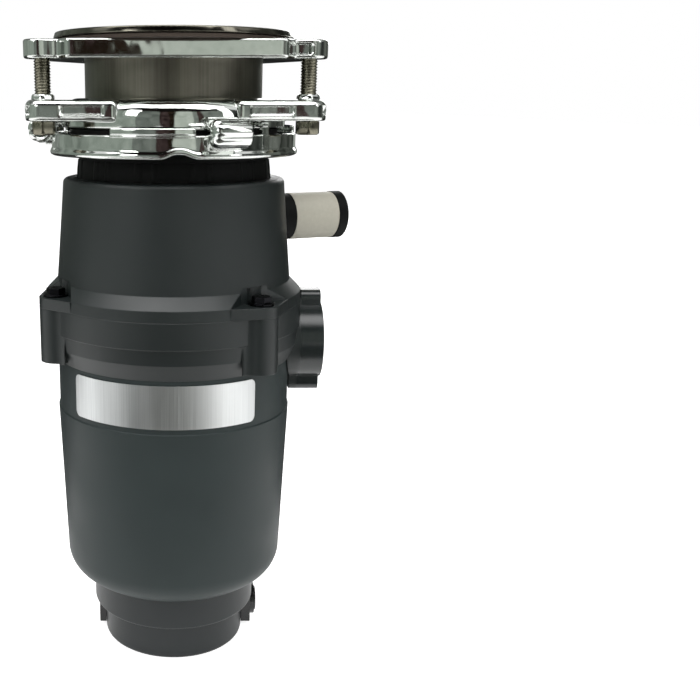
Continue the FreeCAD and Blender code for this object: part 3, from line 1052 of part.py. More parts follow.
def lock_ring():
    """The ring that lifts the disposer: a lipped wall with three hooks and three remover tubes."""
    top = f"{LOCK} + lock_height"
    lip_top = f"{LOCK} + lock_lip"
    proud = f"{LOCK_OUT} + bead_proud"
    ring = turned("LockWall", [
        (LOCK_HOLE, LOCK), (LOCK_OUT, LOCK), (proud, f"{LOCK} + bead_proud"),
        (proud, f"{LOCK} + 3 * bead_proud"), (LOCK_OUT, f"{LOCK} + 4 * bead_proud"), (LOCK_OUT, top),
        (LOCK_IN, top), (LOCK_IN, lip_top), (LOCK_HOLE, lip_top)])
    hook_bottom = f"{MOUNT} + tab_thickness + 0.4"
    hook_top = f"{hook_bottom} + hook_thickness"
    post = cut("HookPost",
               cylinder("HookPostOut", LOCK_OUT, f"({hook_top}) - ({LOCK} + 4)", z=f"{LOCK} + 4",
                        sector="hook_angle"),
               cylinder("HookPostIn", LOCK_IN, 60, z=LOCK))
    lip = cut("HookLip",
              cylinder("HookLipOut", LOCK_IN, "hook_thickness", z=hook_bottom, sector="hook_angle"),
              cylinder("HookLipIn", f"{LOCK_IN} - hook_depth", 60, z=LOCK))
    hook = fuse("Hook", post, lip)
    hooks = around(hook, [f"hook_place_angle + {turn} - hook_angle / 2 - 90" for turn in THREE])
    level = f"{LOCK} + tube_height"
    barrel = cylinder("TubeBarrel", "tube_radius", "tube_length", x="-tube_length / 2", y=f"-{TUBES}",
                      z=level, axis="x")
    bore = cylinder("TubeBore", "tube_bore", "tube_length", x="-tube_length / 2 + 4", y=f"-{TUBES}",
                    z=level, axis="x")
    web = block("TubeWeb", "tube_length - 5", f"{TUBES} - {LOCK_IN}", "lock_height - 4.6",
                x="-tube_length / 2 + 2", y=f"-{TUBES}", z=f"{LOCK} + 4.4")
    inner = cylinder("LockRoom", LOCK_IN, 60, z=lip_top)
    tubes = around(cut("RemoverTube", fuse("RemoverTubeSolid", barrel, web), inner, bore),
                   [f"hook_place_angle + {turn}" for turn in THREE])
    turned_with_mount("lock_ring", fuse("LockRing", ring, *hooks, *tubes))


for build in (base_cap, base_screws, end_cap, motor_shell, nameplate, end_frames, through_bolts, bearings,
              field, armature, motor_shaft, brushes, base_electrics, wiring, drain_housing, housing_screws,
              hood, grind_container, shredder_ring, turntable, swivel_lugs, dishwasher_inlet, cushion,
              sink_flange, mounting_ring, mounting_screws, backup_ring, lock_ring):
    build()

doc.recompute()
for item in doc.Objects:
    if "Invalid" in item.State or "Error" in item.State:
        raise RuntimeError(f"{item.Label} failed: {item.State}")
for item in PARTS:
    if item.Shape.isNull() or not item.Shape.isValid() or not item.Shape.Solids:
        raise RuntimeError(f"{item.Label} has no valid solid")

os.makedirs("parts", exist_ok=True)
for item in PARTS:
    item.Shape.exportStep(f"parts/{item.Label}.step")
print(len(PARTS), "parts,", sum(len(item.Shape.Solids) for item in PARTS), "solids")
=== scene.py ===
"""Looks for the food-waste disposer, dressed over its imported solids.

Metres, +Z up, the front faces -Y. Angles are in degrees about +Z, counted from the front, positive
towards +X.
"""
import math

import bpy
import numpy as np
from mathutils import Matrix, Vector


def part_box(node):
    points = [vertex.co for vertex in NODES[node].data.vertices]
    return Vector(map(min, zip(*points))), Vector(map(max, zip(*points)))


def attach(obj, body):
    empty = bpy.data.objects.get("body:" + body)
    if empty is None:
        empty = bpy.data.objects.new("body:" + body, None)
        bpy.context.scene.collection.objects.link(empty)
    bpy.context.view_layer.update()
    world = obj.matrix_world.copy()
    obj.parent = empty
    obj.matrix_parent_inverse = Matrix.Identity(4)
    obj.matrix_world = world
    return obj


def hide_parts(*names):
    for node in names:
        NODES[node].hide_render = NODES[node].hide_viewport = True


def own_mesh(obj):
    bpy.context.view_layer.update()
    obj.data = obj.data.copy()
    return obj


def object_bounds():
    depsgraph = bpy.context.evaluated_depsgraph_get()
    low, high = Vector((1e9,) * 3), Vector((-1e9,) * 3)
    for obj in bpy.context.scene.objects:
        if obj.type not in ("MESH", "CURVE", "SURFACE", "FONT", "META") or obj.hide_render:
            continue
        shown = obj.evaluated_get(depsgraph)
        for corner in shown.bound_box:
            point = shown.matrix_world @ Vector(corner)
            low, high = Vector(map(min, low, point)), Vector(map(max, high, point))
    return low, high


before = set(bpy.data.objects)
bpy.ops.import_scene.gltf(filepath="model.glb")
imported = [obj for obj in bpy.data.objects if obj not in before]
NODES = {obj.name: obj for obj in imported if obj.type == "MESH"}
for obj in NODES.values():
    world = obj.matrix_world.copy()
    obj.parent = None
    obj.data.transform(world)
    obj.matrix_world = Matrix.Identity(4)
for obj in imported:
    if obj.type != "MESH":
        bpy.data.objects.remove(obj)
CAD_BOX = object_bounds()
MM = 0.001

# the sink mount, in millimetres and degrees: how far it is turned, its jack screws and its hooks
MOUNT_ANGLE = 2.0
JACK_ANGLES = (62.0, 182.0, 302.0)
JACK_REACH = 69.0
EAR_RADIUS = 8.2
HOOK_ANGLES = (21.5, 141.5, 261.5)
THROAT_BORE = 43.3
# the mounting ring's arms start this far above its foot
ARM_UNDERSIDE = 3.5
# the reset spring and the button that presses it, in millimetres
SPRING_WIRE = 0.8
SPRING_TURNS = 5
# where nothing limits a reach
FAR_AWAY = 1e9
# an outline's corners are eased over this many steps to each side
EASING = 5


def span(node):
    """Lowest and highest level of a CAD node, in millimetres."""
    low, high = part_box(node)
    return low[2] / MM, high[2] / MM


# ---------------------------------------------------------------- material nodes

def linear(code):
    """An sRGB hex colour as linear RGBA: each channel c becomes ((c + 0.055) / 1.055) ** 2.4."""
    channels = [int(code[i:i + 2], 16) / 255 for i in (1, 3, 5)]
    return [c / 12.92 if c <= 0.04045 else ((c + 0.055) / 1.055) ** 2.4 for c in channels] + [1.0]


def add(tree, kind, settings=None):
    """Add a node. A setting is an attribute, an input's value, or a socket to join to that input.

    Inputs go by name or by number.
    """
    node = tree.nodes.new("ShaderNode" + kind)
    for key, value in (settings or {}).items():
        if isinstance(key, str) and key not in node.inputs:
            setattr(node, key, value)
        elif isinstance(value, bpy.types.NodeSocket):
            tree.links.new(value, node.inputs[key])
        else:
            node.inputs[key].default_value = value
    return node


def new_tree(name):
    """An empty material; returns the material, its tree and the Object coordinates."""
    material = bpy.data.materials.new(name)
    material.use_nodes = True
    tree = material.node_tree
    tree.nodes.clear()
    return material, tree, add(tree, "TexCoord").outputs["Object"]


def new_material(name, settings):
    """A material with its shader; returns the material, its tree, the shader and the Object coordinates."""
    material, tree, place = new_tree(name)
    shader = add(tree, "BsdfPrincipled", settings)
    add(tree, "OutputMaterial", {"Surface": shader.outputs["BSDF"]})
    return material, tree, shader, place


def cloud_pattern(tree, place, size, detail=3.0, roughness=0.5):
    """A cloud pattern from 0 to 1, its cells of a size in millimetres; three sizes give stretched cells."""
    sizes = size if isinstance(size, tuple) else (size, size, size)
    scale = [1 / (each * MM) for each in sizes]
    cells = add(tree, "Mapping", {"Scale": scale, "Vector": place}).outputs["Vector"]
    settings = {"Scale": 1.0, "Detail": detail, "Roughness": roughness, "Vector": cells}
    return add(tree, "TexNoise", settings).outputs[0]


def two_tone(tree, shader, factor, dark, light):
    """Base colour between two sRGB colours by a factor."""
    mix = add(tree, "Mix", {"data_type": "RGBA", 0: factor, 6: linear(dark), 7: linear(light)})
    tree.links.new(mix.outputs[2], shader.inputs["Base Color"])


def ranged(tree, shader, factor, socket, low, high, start=0.3, end=0.7):
    """A socket of the shader that runs from low to high as a factor goes from start to end."""
    run = add(tree, "MapRange", {"From Min": start, "From Max": end, "To Min": low, "To Max": high,
                                 "Value": factor})
    tree.links.new(run.outputs[0], shader.inputs[socket])


def soft_edges(tree, shader, radius, height, strength, depth):
    """A relief of a depth over edges that catch the light as if rounded to a radius, in millimetres."""
    edge = add(tree, "Bevel", {"samples": 4, "Radius": radius * MM}).outputs["Normal"]
    bump = add(tree, "Bump", {"Strength": strength, "Distance": depth * MM, "Height": height,
                              "Normal": edge})
    tree.links.new(bump.outputs["Normal"], shader.inputs["Normal"])


# ---------------------------------------------------------------- materials

def moulded_plastic(name, dark, light, rough=0.45, grain=0.5, edge=0.5, sheen=0.5, slide=False):
    """Injection-moulded plastic from a spark-eroded tool: matt fine grain, soft sheen, faint flow clouds.

    Where a polished slide of the tool forms the outlet, the plastic comes out smooth and glossier.
    """
    material, tree, shader, place = new_material(name, {"Specular IOR Level": sheen})
    clouds = cloud_pattern(tree, place, 26.32)
    two_tone(tree, shader, clouds, dark, light)
    if slide:
        # the gloss sets in over 2 mm, where the outlet leaves the body
        across = add(tree, "SeparateXYZ", {"Vector": place}).outputs["X"]
        ranged(tree, shader, across, "Roughness", rough, 0.24, start=61.5 * MM, end=63.5 * MM)
    else:
        ranged(tree, shader, clouds, "Roughness", rough - 0.05, rough + 0.05)
    # the real grain is about 0.1 mm; drawn coarser so that it shows
    soft_edges(tree, shader, edge, cloud_pattern(tree, place, grain, detail=2.0), 0.12, 0.15)
    return material


def bright_chrome():
    """Chrome plate over die-cast zinc: a mirror with the casting's faint waves, and cloudy spots."""
    material, tree, shader, place = new_material("chrome_plated_zinc", {"Metallic": 1.0})
    clouds = cloud_pattern(tree, place, 16.67, detail=4.0)
    two_tone(tree, shader, clouds, "#c9ccc9", "#dbdeda")
    ranged(tree, shader, clouds, "Roughness", 0.03, 0.10)
    waves = cloud_pattern(tree, place, 9.091, detail=1.0)
    soft_edges(tree, shader, 0.8, waves, 0.25, 1.0)
    return material


def drawn_stainless():
    """Deep-drawn stainless steel: a polished rim, upright draw marks, a dull finish below the rim, and a
    dark brownish tone with darker blotches all over.
    """
    material, tree, shader, place = new_material("deep_drawn_stainless_steel", {"Metallic": 1.0})
    # draw marks are about 0.1 mm apart; drawn at 1.1 mm so that they show
    lines = cloud_pattern(tree, place, (1.111, 1.111, 71.43))
    # darker blotches of a random cloud, over a tone far darker than bare stainless steel
    blotches = cloud_pattern(tree, place, 18.18, detail=4.0, roughness=0.6)
    half = add(tree, "Math", {"operation": "MULTIPLY", 0: blotches, 1: 0.5}).outputs[0]
    marks = add(tree, "Math", {"operation": "MULTIPLY_ADD", 0: lines, 1: 0.5, 2: half}).outputs[0]
    two_tone(tree, shader, marks, "#46443d", "#827f74")
    # the polish ends under the rim, over a couple of millimetres
    height = add(tree, "SeparateXYZ", {"Vector": place}).outputs["Z"]
    ranged(tree, shader, height, "Roughness", 0.36, 0.12, start=306.5 * MM, end=308.5 * MM)
    soft_edges(tree, shader, 0.6, lines, 0.10, 0.15)
    return material


def metal(name, dark, light, rough, cloud=5.556):
    """A bare or plated metal with small clouds of tone and gloss."""
    material, tree, shader, place = new_material(name, {"Metallic": 1.0})
    clouds = cloud_pattern(tree, place, cloud)
    two_tone(tree, shader, clouds, dark, light)
    ranged(tree, shader, clouds, "Roughness", rough - 0.08, rough + 0.08)
    soft_edges(tree, shader, 0.3, clouds, 0.05, 0.2)
    return material


def brushed_foil():
    """Brushed aluminium foil under clear lacquer: fine upright lines and broad light and dark bands."""
    material, tree, shader, place = new_material("brushed_aluminium_foil", {"Metallic": 1.0})
    # real brush lines are about 0.05 mm apart; drawn at 0.4 mm so that they show
    lines = cloud_pattern(tree, place, (0.4, 0.4, 50.0), detail=2.0)
    bands = cloud_pattern(tree, place, (22.22, 22.22, 500.0), detail=1.0)
    both = add(tree, "Math", {"operation": "MULTIPLY_ADD", 0: lines, 1: 0.35, 2: bands}).outputs[0]
    tone = add(tree, "MapRange", {"From Min": 0.4, "From Max": 0.95, "Value": both}).outputs[0]
    two_tone(tree, shader, tone, "#a7a9aa", "#ebeded")
    ranged(tree, shader, lines, "Roughness", 0.34, 0.48)
    soft_edges(tree, shader, 0.2, lines, 0.06, 0.1)
    return material


def soft_matter(name, dark, light, rough, grain, strength=0.2):
    """Rubber, foam, fibre, ceramic or paper: no gloss, with a fine uneven surface."""
    material, tree, shader, place = new_material(name, {"Roughness": rough})
    # most real grains and fibres are under 0.1 mm; drawn coarser so that they show
    mottle = cloud_pattern(tree, place, grain, detail=4.0, roughness=0.65)
    two_tone(tree, shader, mottle, dark, light)
    soft_edges(tree, shader, 0.3, mottle, strength, 0.3)
    return material


# charcoal and slate casings, a black neck darkened further as painted shade, and the glossier black of the
# wiring box
HOUSING = moulded_plastic("moulded_charcoal_polypropylene", "#151b1b", "#191f1f", edge=0.7)
OUTLET = moulded_plastic("moulded_charcoal_polypropylene_with_smooth_outlet", "#151b1b", "#191f1f",
                         edge=0.7, slide=True)
SHELL = moulded_plastic("moulded_slate_polypropylene", "#2a3131", "#2f3737", rough=0.5, sheen=0.24)
BASE = moulded_plastic("moulded_slate_nylon", "#202425", "#25292a", rough=0.42, sheen=0.3)
# the neck is black plastic, its colour made darker still as painted shade for the shadow it stands in
NECK = moulded_plastic("moulded_black_polypropylene_with_painted_shade", "#040505", "#080909", rough=0.55, sheen=0.12)
GLOSS_BLACK = moulded_plastic("moulded_gloss_black_abs", "#0c0c0d", "#141415", rough=0.22, grain=1.2)
RED_BUTTON = moulded_plastic("moulded_red_abs", "#a5181a", "#b32322", rough=0.3)
CHROME = bright_chrome()
STAINLESS = drawn_stainless()
FOIL = brushed_foil()
# zinc-plated steel with a clear passivate: dull yellowish grey, or black
ZINC = metal("zinc_plated_steel", "#5c594e", "#918e7e", 0.30)
BLACK_ZINC = metal("black_zinc_plated_steel", "#141414", "#26262a", 0.30)
# ground and stamped steels: cool greys with a soft gloss
GROUND_STEEL = metal("ground_steel", "#8f9194", "#b4b6b8", 0.28)
STAMPED_STAINLESS = metal("stamped_stainless_steel", "#9b9c9b", "#c4c5c3", 0.24)
# die-cast aluminium: light grey, matt from its skin
CAST_ALUMINIUM = metal("die_cast_aluminium", "#8f9192", "#aeb0b1", 0.48, cloud=2.381)
# stamped brass: warm yellow, clouded by handling
BRASS = metal("stamped_brass", "#a98a45", "#cdb067", 0.30)
# enamelled wire: reddish brown, its turns seen as small clouds
COPPER = metal("enamelled_copper_wire", "#8a4a28", "#b0663a", 0.32, cloud=1.111)
# pressed laminations of silicon steel with an oxide film
LAMINATIONS = metal("oxidised_silicon_steel", "#4c4c50", "#66666a", 0.45, cloud=1.667)
# sintered ferrite is a matt charcoal ceramic with fine chips
FERRITE = soft_matter("sintered_ferrite", "#26262a", "#303036", 0.62, 1.111)
# pressed carbon: near black with a dull sheen
CARBON = soft_matter("pressed_carbon", "#111112", "#1d1d1f", 0.5, 0.8333)
# phenolic paper board: brown, faintly mottled
PHENOLIC = soft_matter("phenolic_paper_board", "#6d4a2a", "#81603a", 0.45, 3.333)
# moulded rubber: black and matt
RUBBER = soft_matter("moulded_black_rubber", "#0f0f10", "#191919", 0.68, 3.846)
# closed-cell foam: open cells of about 0.8 mm on its cut faces
FOAM = soft_matter("closed_cell_foam", "#2c2c2e", "#3c3c3f", 0.85, 0.8333, strength=0.5)
# pressed vulcanised fibre: brown with short fibres, darkened as painted shade for the shadowed gap under the
# flange's rim
FIBRE = soft_matter("vulcanised_fibre", "#3b322c", "#4c423a", 0.75, 1.429)
# clay-coated paper: smooth off-white with a faint fibre cloud
PAPER = soft_matter("coated_paper", "#a19e91", "#b2afa2", 0.55, 2.0, strength=0.06)

FINISHES = {
    HOUSING: ("hood",),
    OUTLET: ("drain_housing",),
    SHELL: ("motor_shell",),
    BASE: ("base_cap", "end_cap"),
    NECK: ("grind_container", "dishwasher_inlet", "inlet_plug"),
    GLOSS_BLACK: ("wiring_box", "wiring_cover", "cable_gland", "overload_protector"),
    CHROME: ("backup_ring", "mounting_ring", "lock_ring"),
    STAINLESS: ("sink_flange",),
    FOIL: ("nameplate",),
    ZINC: ("mounting_screws", "snap_ring", "through_bolts", "frame_screws", "lug_rivets"),
    BLACK_ZINC: ("housing_screws", "base_screws", "wiring_cover_screws"),
    GROUND_STEEL: ("motor_shaft", "lower_bearing", "upper_bearing", "thrust_washer", "brush_springs",
                   "reset_spring", "turntable_nut"),
    STAMPED_STAINLESS: ("shredder_ring", "turntable", "swivel_lug_1", "swivel_lug_2"),
    CAST_ALUMINIUM: ("lower_end_frame", "upper_end_frame"),
    BRASS: ("brush_holders", "ground_screw"),
    COPPER: ("armature_windings", "commutator"),
    LAMINATIONS: ("flux_ring", "armature_core"),
    FERRITE: ("field_magnets",),
    CARBON: ("carbon_brushes",),
    PHENOLIC: ("brush_card", "rectifier_board"),
    RUBBER: ("mounting_cushion", "splash_guard", "housing_seal", "shaft_seal", "water_slinger"),
    FOAM: ("sound_foam",),
    FIBRE: ("fibre_gasket",),
    PAPER: ("inlet_label",),
    RED_BUTTON: ("reset_button",),
}
for finish, names in FINISHES.items():
    for name in names:
        NODES[name].data.materials.clear()
        NODES[name].data.materials.append(finish)


# ---------------------------------------------------------------- surfaces

def closed_shell(points, capped=True):
    """Vertices, outward four-sided faces and end caps of a grid [row, column, 3] that closes on itself.

    Its columns run round. Its end rows are capped, or joined to each other, which makes a ring.
    """
    rows, columns = points.shape[:2]
    vertices = points.reshape(-1, 3)
    row, column = np.meshgrid(np.arange(rows - capped), np.arange(columns), indexing="ij")
    here, beside = row * columns + column, row * columns + (column + 1) % columns
    sides = np.stack([here, beside, beside + columns, here + columns], -1).reshape(-1, 4) % len(vertices)
    ends = [np.arange(columns)[::-1], np.arange(len(vertices) - columns, len(vertices))] if capped else []
    # six times the volume, from fans of triangles; a negative one means that the faces point inwards
    first, second, third, fourth = vertices[sides].transpose(1, 0, 2)
    volume = np.sum(first * (np.cross(second, third) + np.cross(third, fourth)))
    for end in ends:
        fan = vertices[end]
        volume += np.sum(np.cross(fan[1:-1], fan[2:]) @ fan[0])
    if volume < 0:
        sides, ends = sides[:, ::-1], [end[::-1] for end in ends]
    return vertices, sides, ends


def turned_by(points, angle):
    """The points turned about Z by an angle in degrees."""
    c, s = math.cos(math.radians(angle)), math.sin(math.radians(angle))
    return points @ np.array([[c, s, 0], [-s, c, 0], [0, 0, 1]])


def piece(name, shells, material, body, slot, *stands_for, smooth=38.0):
    """One object made of closed shells in millimetres, which rides on a body and stands for CAD nodes."""
    faces, first = [], 0
    for points, sides, ends in shells:
        faces += (sides + first).tolist() + [(end + first).tolist() for end in ends]
        first += len(points)
    vertices = np.concatenate([points for points, *_ in shells]) * MM
    mesh = bpy.data.meshes.new(name)
    mesh.from_pydata(vertices.tolist(), [], faces)
    mesh.materials.append(material)
    mesh.polygons.foreach_set("use_smooth", [True] * len(mesh.polygons))
    mesh.set_sharp_from_angle(angle=math.radians(smooth))
    mesh.update()
    made = bpy.data.objects.new(name, mesh)
    bpy.context.collection.objects.link(made)
    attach(made, body)
    if stands_for:
        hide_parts(*stands_for)
    return made


def around(shell, angles):
    """Copies of a shell, turned about Z."""
    points, *faces = shell
    return [(turned_by(points, angle), *faces) for angle in angles]


def fillet(radius, height, low, steps=4):
    """(inset, level) pairs up a wall from low to low + height, its edges rounded by quarter circles."""
    turn = np.linspace(0, math.pi / 2, steps)
    bottom = np.stack([radius * (1 - np.sin(turn)), low + radius * (1 - np.cos(turn))], -1)
    top = np.stack([radius * (1 - np.cos(turn)), low + height - radius * (1 - np.sin(turn))], -1)
    return np.concatenate([bottom, top])


def smoothed(values, reach):
    """A closed run of values, each averaged with its neighbours up to reach steps away by a bell curve."""
    steps = np.arange(-reach, reach + 1)
    weights = np.exp(-(steps / (0.5 * reach)) ** 2)
    weights /= weights.sum()
    return sum(weight * np.roll(values, step, axis=0) for step, weight in zip(steps, weights))


def outward(outline):
    """Outward unit normals of a closed outline that runs anticlockwise."""
    along = np.roll(outline, -1, axis=0) - np.roll(outline, 1, axis=0)
    normal = np.stack([along[:, 1], -along[:, 0]], -1)
    return normal / np.linalg.norm(normal, axis=1, keepdims=True)


def walled(outline, insets, levels):
    """Grid of points: row i is the outline moved inwards by insets[i] along its normals, at levels[i]."""
    insets = np.asarray(insets, float)
    insets = insets[:, None] if insets.ndim == 1 else insets
    flat = outline[None] - outward(outline)[None] * (insets * np.ones(len(outline)))[..., None]
    levels = np.broadcast_to(np.asarray(levels, float)[:, None], flat.shape[:2])
    return np.concatenate([flat, levels[..., None]], -1)


def apart(angle, centre):
    """Degrees from a centre angle, between -180 and 180."""
    return (angle - centre + 180) % 360 - 180


def step_up(value, edge, width):
    """0 below the edge and 1 above it, changing smoothly over a width."""
    t = np.clip((value - edge) / width + 0.5, 0, 1)
    return t * t * (3 - 2 * t)


def window(angle, centre, half, soft):
    """1 within half of a centre angle and 0 outside, with soft edges, in degrees."""
    return 1 - step_up(np.abs(apart(angle, centre)), half, soft)


def at_angle(reach, angle):
    """The point in plan at a distance from the axis and an angle in degrees."""
    return reach * math.sin(math.radians(angle)), -reach * math.cos(math.radians(angle))


# ---------------------------------------------------------------- backup ring

# the six-sided bar's long and short sides: how far each lies from the axis, and which ways they face
BAR_SIDES = ((48.0, (0, 120, 240)), (65.6, (60, 180, 300)))
WINDOW_TURN = -7.9
WINDOW_DEPTH = 2.4


def backup_outline(count=720):
    """Plan of the backup ring: the farther of a six-sided bar and three round ears at each angle."""
    angle = np.linspace(0, 2 * math.pi, count, endpoint=False)
    reach = np.full(count, FAR_AWAY)
    for distance, turns in BAR_SIDES:
        for turn in turns:
            facing = np.cos(angle - math.radians(turn + MOUNT_ANGLE))
            edge = np.where(facing > 0.2, distance / np.maximum(facing, 0.2), FAR_AWAY)
            reach = np.minimum(reach, edge)
    for turn in JACK_ANGLES:
        off = (angle - math.radians(turn) + math.pi) % (2 * math.pi) - math.pi
        side = np.abs(JACK_REACH * np.sin(off))
        inside = (side < EAR_RADIUS) & (np.abs(off) < 1)
        round_end = JACK_REACH * np.cos(off) + np.sqrt(np.maximum(EAR_RADIUS ** 2 - side ** 2, 0))
        reach = np.where(inside, np.maximum(reach, round_end), reach)
    reach = smoothed(reach, EASING)
    return np.stack([reach * np.sin(angle), -reach * np.cos(angle)], -1)


def backup_ring():
    """The bar with its edges rounded by 1.1 mm, round a plain bore, with a dark window beside each ear."""
    low, high = span("backup_ring")
    outline = backup_outline()
    rows = fillet(1.1, high - low, low)
    middle = len(rows) // 2
    face = [[0, low + 1.6], [0, low + 2.2], [0, high - 2.2], [0, high - 1.6]]
    rows = np.concatenate([rows[:middle], face, rows[middle:]])
    angle = np.degrees(np.arctan2(outline[:, 0], -outline[:, 1]))
    windows = sum(window(angle, turn + WINDOW_TURN, 2.3, 0.6) for turn in JACK_ANGLES)
    depth = np.zeros((len(rows), 1))
    depth[middle + 1:middle + 3] = WINDOW_DEPTH
    outer = walled(outline, rows[:, :1] + depth * windows, rows[:, 1])
    bore = THROAT_BORE * outline / np.linalg.norm(outline, axis=1, keepdims=True)
    inner = fillet(0.5, high - low, low)[::-1]
    inside = walled(bore, -inner[:, 0], inner[:, 1])
    piece("BackupRing", [closed_shell(np.concatenate([outer, inside]), capped=False)], CHROME,
          "disposer", "chrome", "backup_ring")


backup_ring()


# ---------------------------------------------------------------- jack screws

def hexagon(across, count=96, corner=0.06):
    """A six-sided outline of a width across its corners, anticlockwise.

    The reach is a flat's distance over the cosine of the angle from that flat's middle; a corner is cut
    off where it passes a share of the full reach.
    """
    angle = np.linspace(0, 2 * math.pi, count, endpoint=False)
    reach = across / 2 * math.cos(math.pi / 6) / np.cos((angle + math.pi / 6) % (math.pi / 3) - math.pi / 6)
    reach = np.minimum(reach, across / 2 * (1 - corner))
    return np.stack([reach * np.cos(angle), reach * np.sin(angle)], -1)


def threaded_rod(radius, low, high, pitch=1.25, depth=0.55, count=32):
    """A helical thread: the radius falls by a triangle wave of (level / pitch - angle / full turn)."""
    level = np.append(np.arange(low, high, pitch / 8), high)
    angle = np.linspace(0, 2 * math.pi, count, endpoint=False)
    level, angle = np.meshgrid(level, angle, indexing="ij")
    wave = np.abs(((level / pitch - angle / (2 * math.pi)) % 1) * 2 - 1)
    reach = radius - depth * wave
    reach = np.where((level <= low) | (level >= high), radius - depth, reach)
    return np.stack([reach * np.cos(angle), reach * np.sin(angle), level], -1)


def jack_screws():
    """Threaded rods with chamfered hex heads under the mounting ring's ears."""
    low, high = span("mounting_screws")
    rod = threaded_rod(3.8, span("mounting_ring")[0] + ARM_UNDERSIDE - 0.2, high)
    head = walled(hexagon(11.8), [1.0, 0.25, 0, 0, 0.2, 0.9], np.array([0, 0.35, 0.8, 5.6, 6.0, 6.2]) + low)
    shells = []
    for grid in (rod, head):
        shells += around(closed_shell(grid + [0, -JACK_REACH, 0]), JACK_ANGLES)
    piece("JackScrews", shells, ZINC, "disposer", "chrome", "mounting_screws")


jack_screws()


# ---------------------------------------------------------------- turned shapes

def turned(profile, angles=None, count=256):
    """A closed ring shell from (radius, level) points; angles gives each point's offsets at each angle."""
    angle = np.linspace(0, 2 * math.pi, count, endpoint=False)
    profile = np.asarray(profile, float)
    reach = np.repeat(profile[:, :1], count, axis=1)
    level = np.repeat(profile[:, 1:], count, axis=1)
    if angles is not None:
        grown, raised = angles(np.degrees(angle), reach, level)
        reach, level = reach + grown, level + raised
    points = np.stack([reach * np.sin(angle), -reach * np.cos(angle), level], -1)
    return closed_shell(points, capped=False)


def bend(points, steps=5):
    """A profile through points (radius, level); one with a third value is a corner rounded that far back.

    The rounding is a quadratic curve from one side to the other, drawn towards the corner.
    """
    rounded = []
    for index, (x, z, *fill) in enumerate(points):
        corner = np.array([x, z], float)
        if not fill:
            rounded.append(corner)
            continue
        before = np.array(points[index - 1][:2], float)
        after = np.array(points[(index + 1) % len(points)][:2], float)
        start = corner + (before - corner) / np.linalg.norm(before - corner) * fill[0]
        end = corner + (after - corner) / np.linalg.norm(after - corner) * fill[0]
        t = np.linspace(0, 1, steps)[:, None]
        rounded += list((1 - t) ** 2 * start + 2 * t * (1 - t) * corner + t ** 2 * end)
    return np.array(rounded)


def hex_boss(profile, count=48):
    """A six-sided shape from (reach, level) points: each row is a hexagon whose corners reach that far."""
    shape = hexagon(2.0, count)
    rows = [np.concatenate([shape * reach, np.full((count, 1), level)], 1) for reach, level in profile]
    return closed_shell(np.array(rows))


def plan_sector(inner, outer, half, low, thickness, edge):
    """A curved slab between two radii, half degrees to each side of the front, with rounded edges."""
    t = np.radians(np.linspace(-half, half, 25))
    arc = np.stack([np.sin(t), -np.cos(t)], -1)
    outline = np.concatenate([outer * arc, inner * arc[::-1]])
    # even spacing, so that the corners round off when they are averaged
    closed = np.concatenate([outline, outline[:1]])
    run = np.append(0, np.cumsum(np.linalg.norm(np.diff(closed, axis=0), axis=1)))
    at = np.linspace(0, run[-1], 160, endpoint=False)
    even = np.stack([np.interp(at, run, closed[:, 0]), np.interp(at, run, closed[:, 1])], -1)
    rows = fillet(edge, thickness, low)
    return closed_shell(walled(smoothed(even, 3), rows[:, 0], rows[:, 1]))


# ---------------------------------------------------------------- mounting ring

# the collar that the arms grow from, and the shoulders to each side of an ear
COLLAR_RADIUS = 47.2
SHOULDER_REACH = 51.5
SHOULDER_TURN = 26
SHOULDER_RADIUS = 4.0


def arm_outline(count=1440):
    """Plan of the three arms: along each ray, the far side of a hull of three discs and the centre."""
    angle = np.linspace(0, 2 * math.pi, count, endpoint=False)
    ray = np.stack([np.sin(angle), -np.cos(angle)], -1)
    facing = ray @ ray.T
    reach = np.full(count, COLLAR_RADIUS)
    for turn in JACK_ANGLES:
        middles = np.array([at_angle(JACK_REACH, turn), at_angle(SHOULDER_REACH, turn - SHOULDER_TURN),
                            at_angle(SHOULDER_REACH, turn + SHOULDER_TURN), (0, 0)])
        support = np.max(ray @ middles.T + [EAR_RADIUS, SHOULDER_RADIUS, SHOULDER_RADIUS, 0], axis=1)
        out = np.where(facing > 0.02, support[:, None] / np.maximum(facing, 0.02), FAR_AWAY).min(axis=0)
        near = np.abs(apart(np.degrees(angle), turn)) < 40
        reach = np.where(near, np.maximum(reach, out), reach)
    return ray * smoothed(reach, EASING)[:, None]


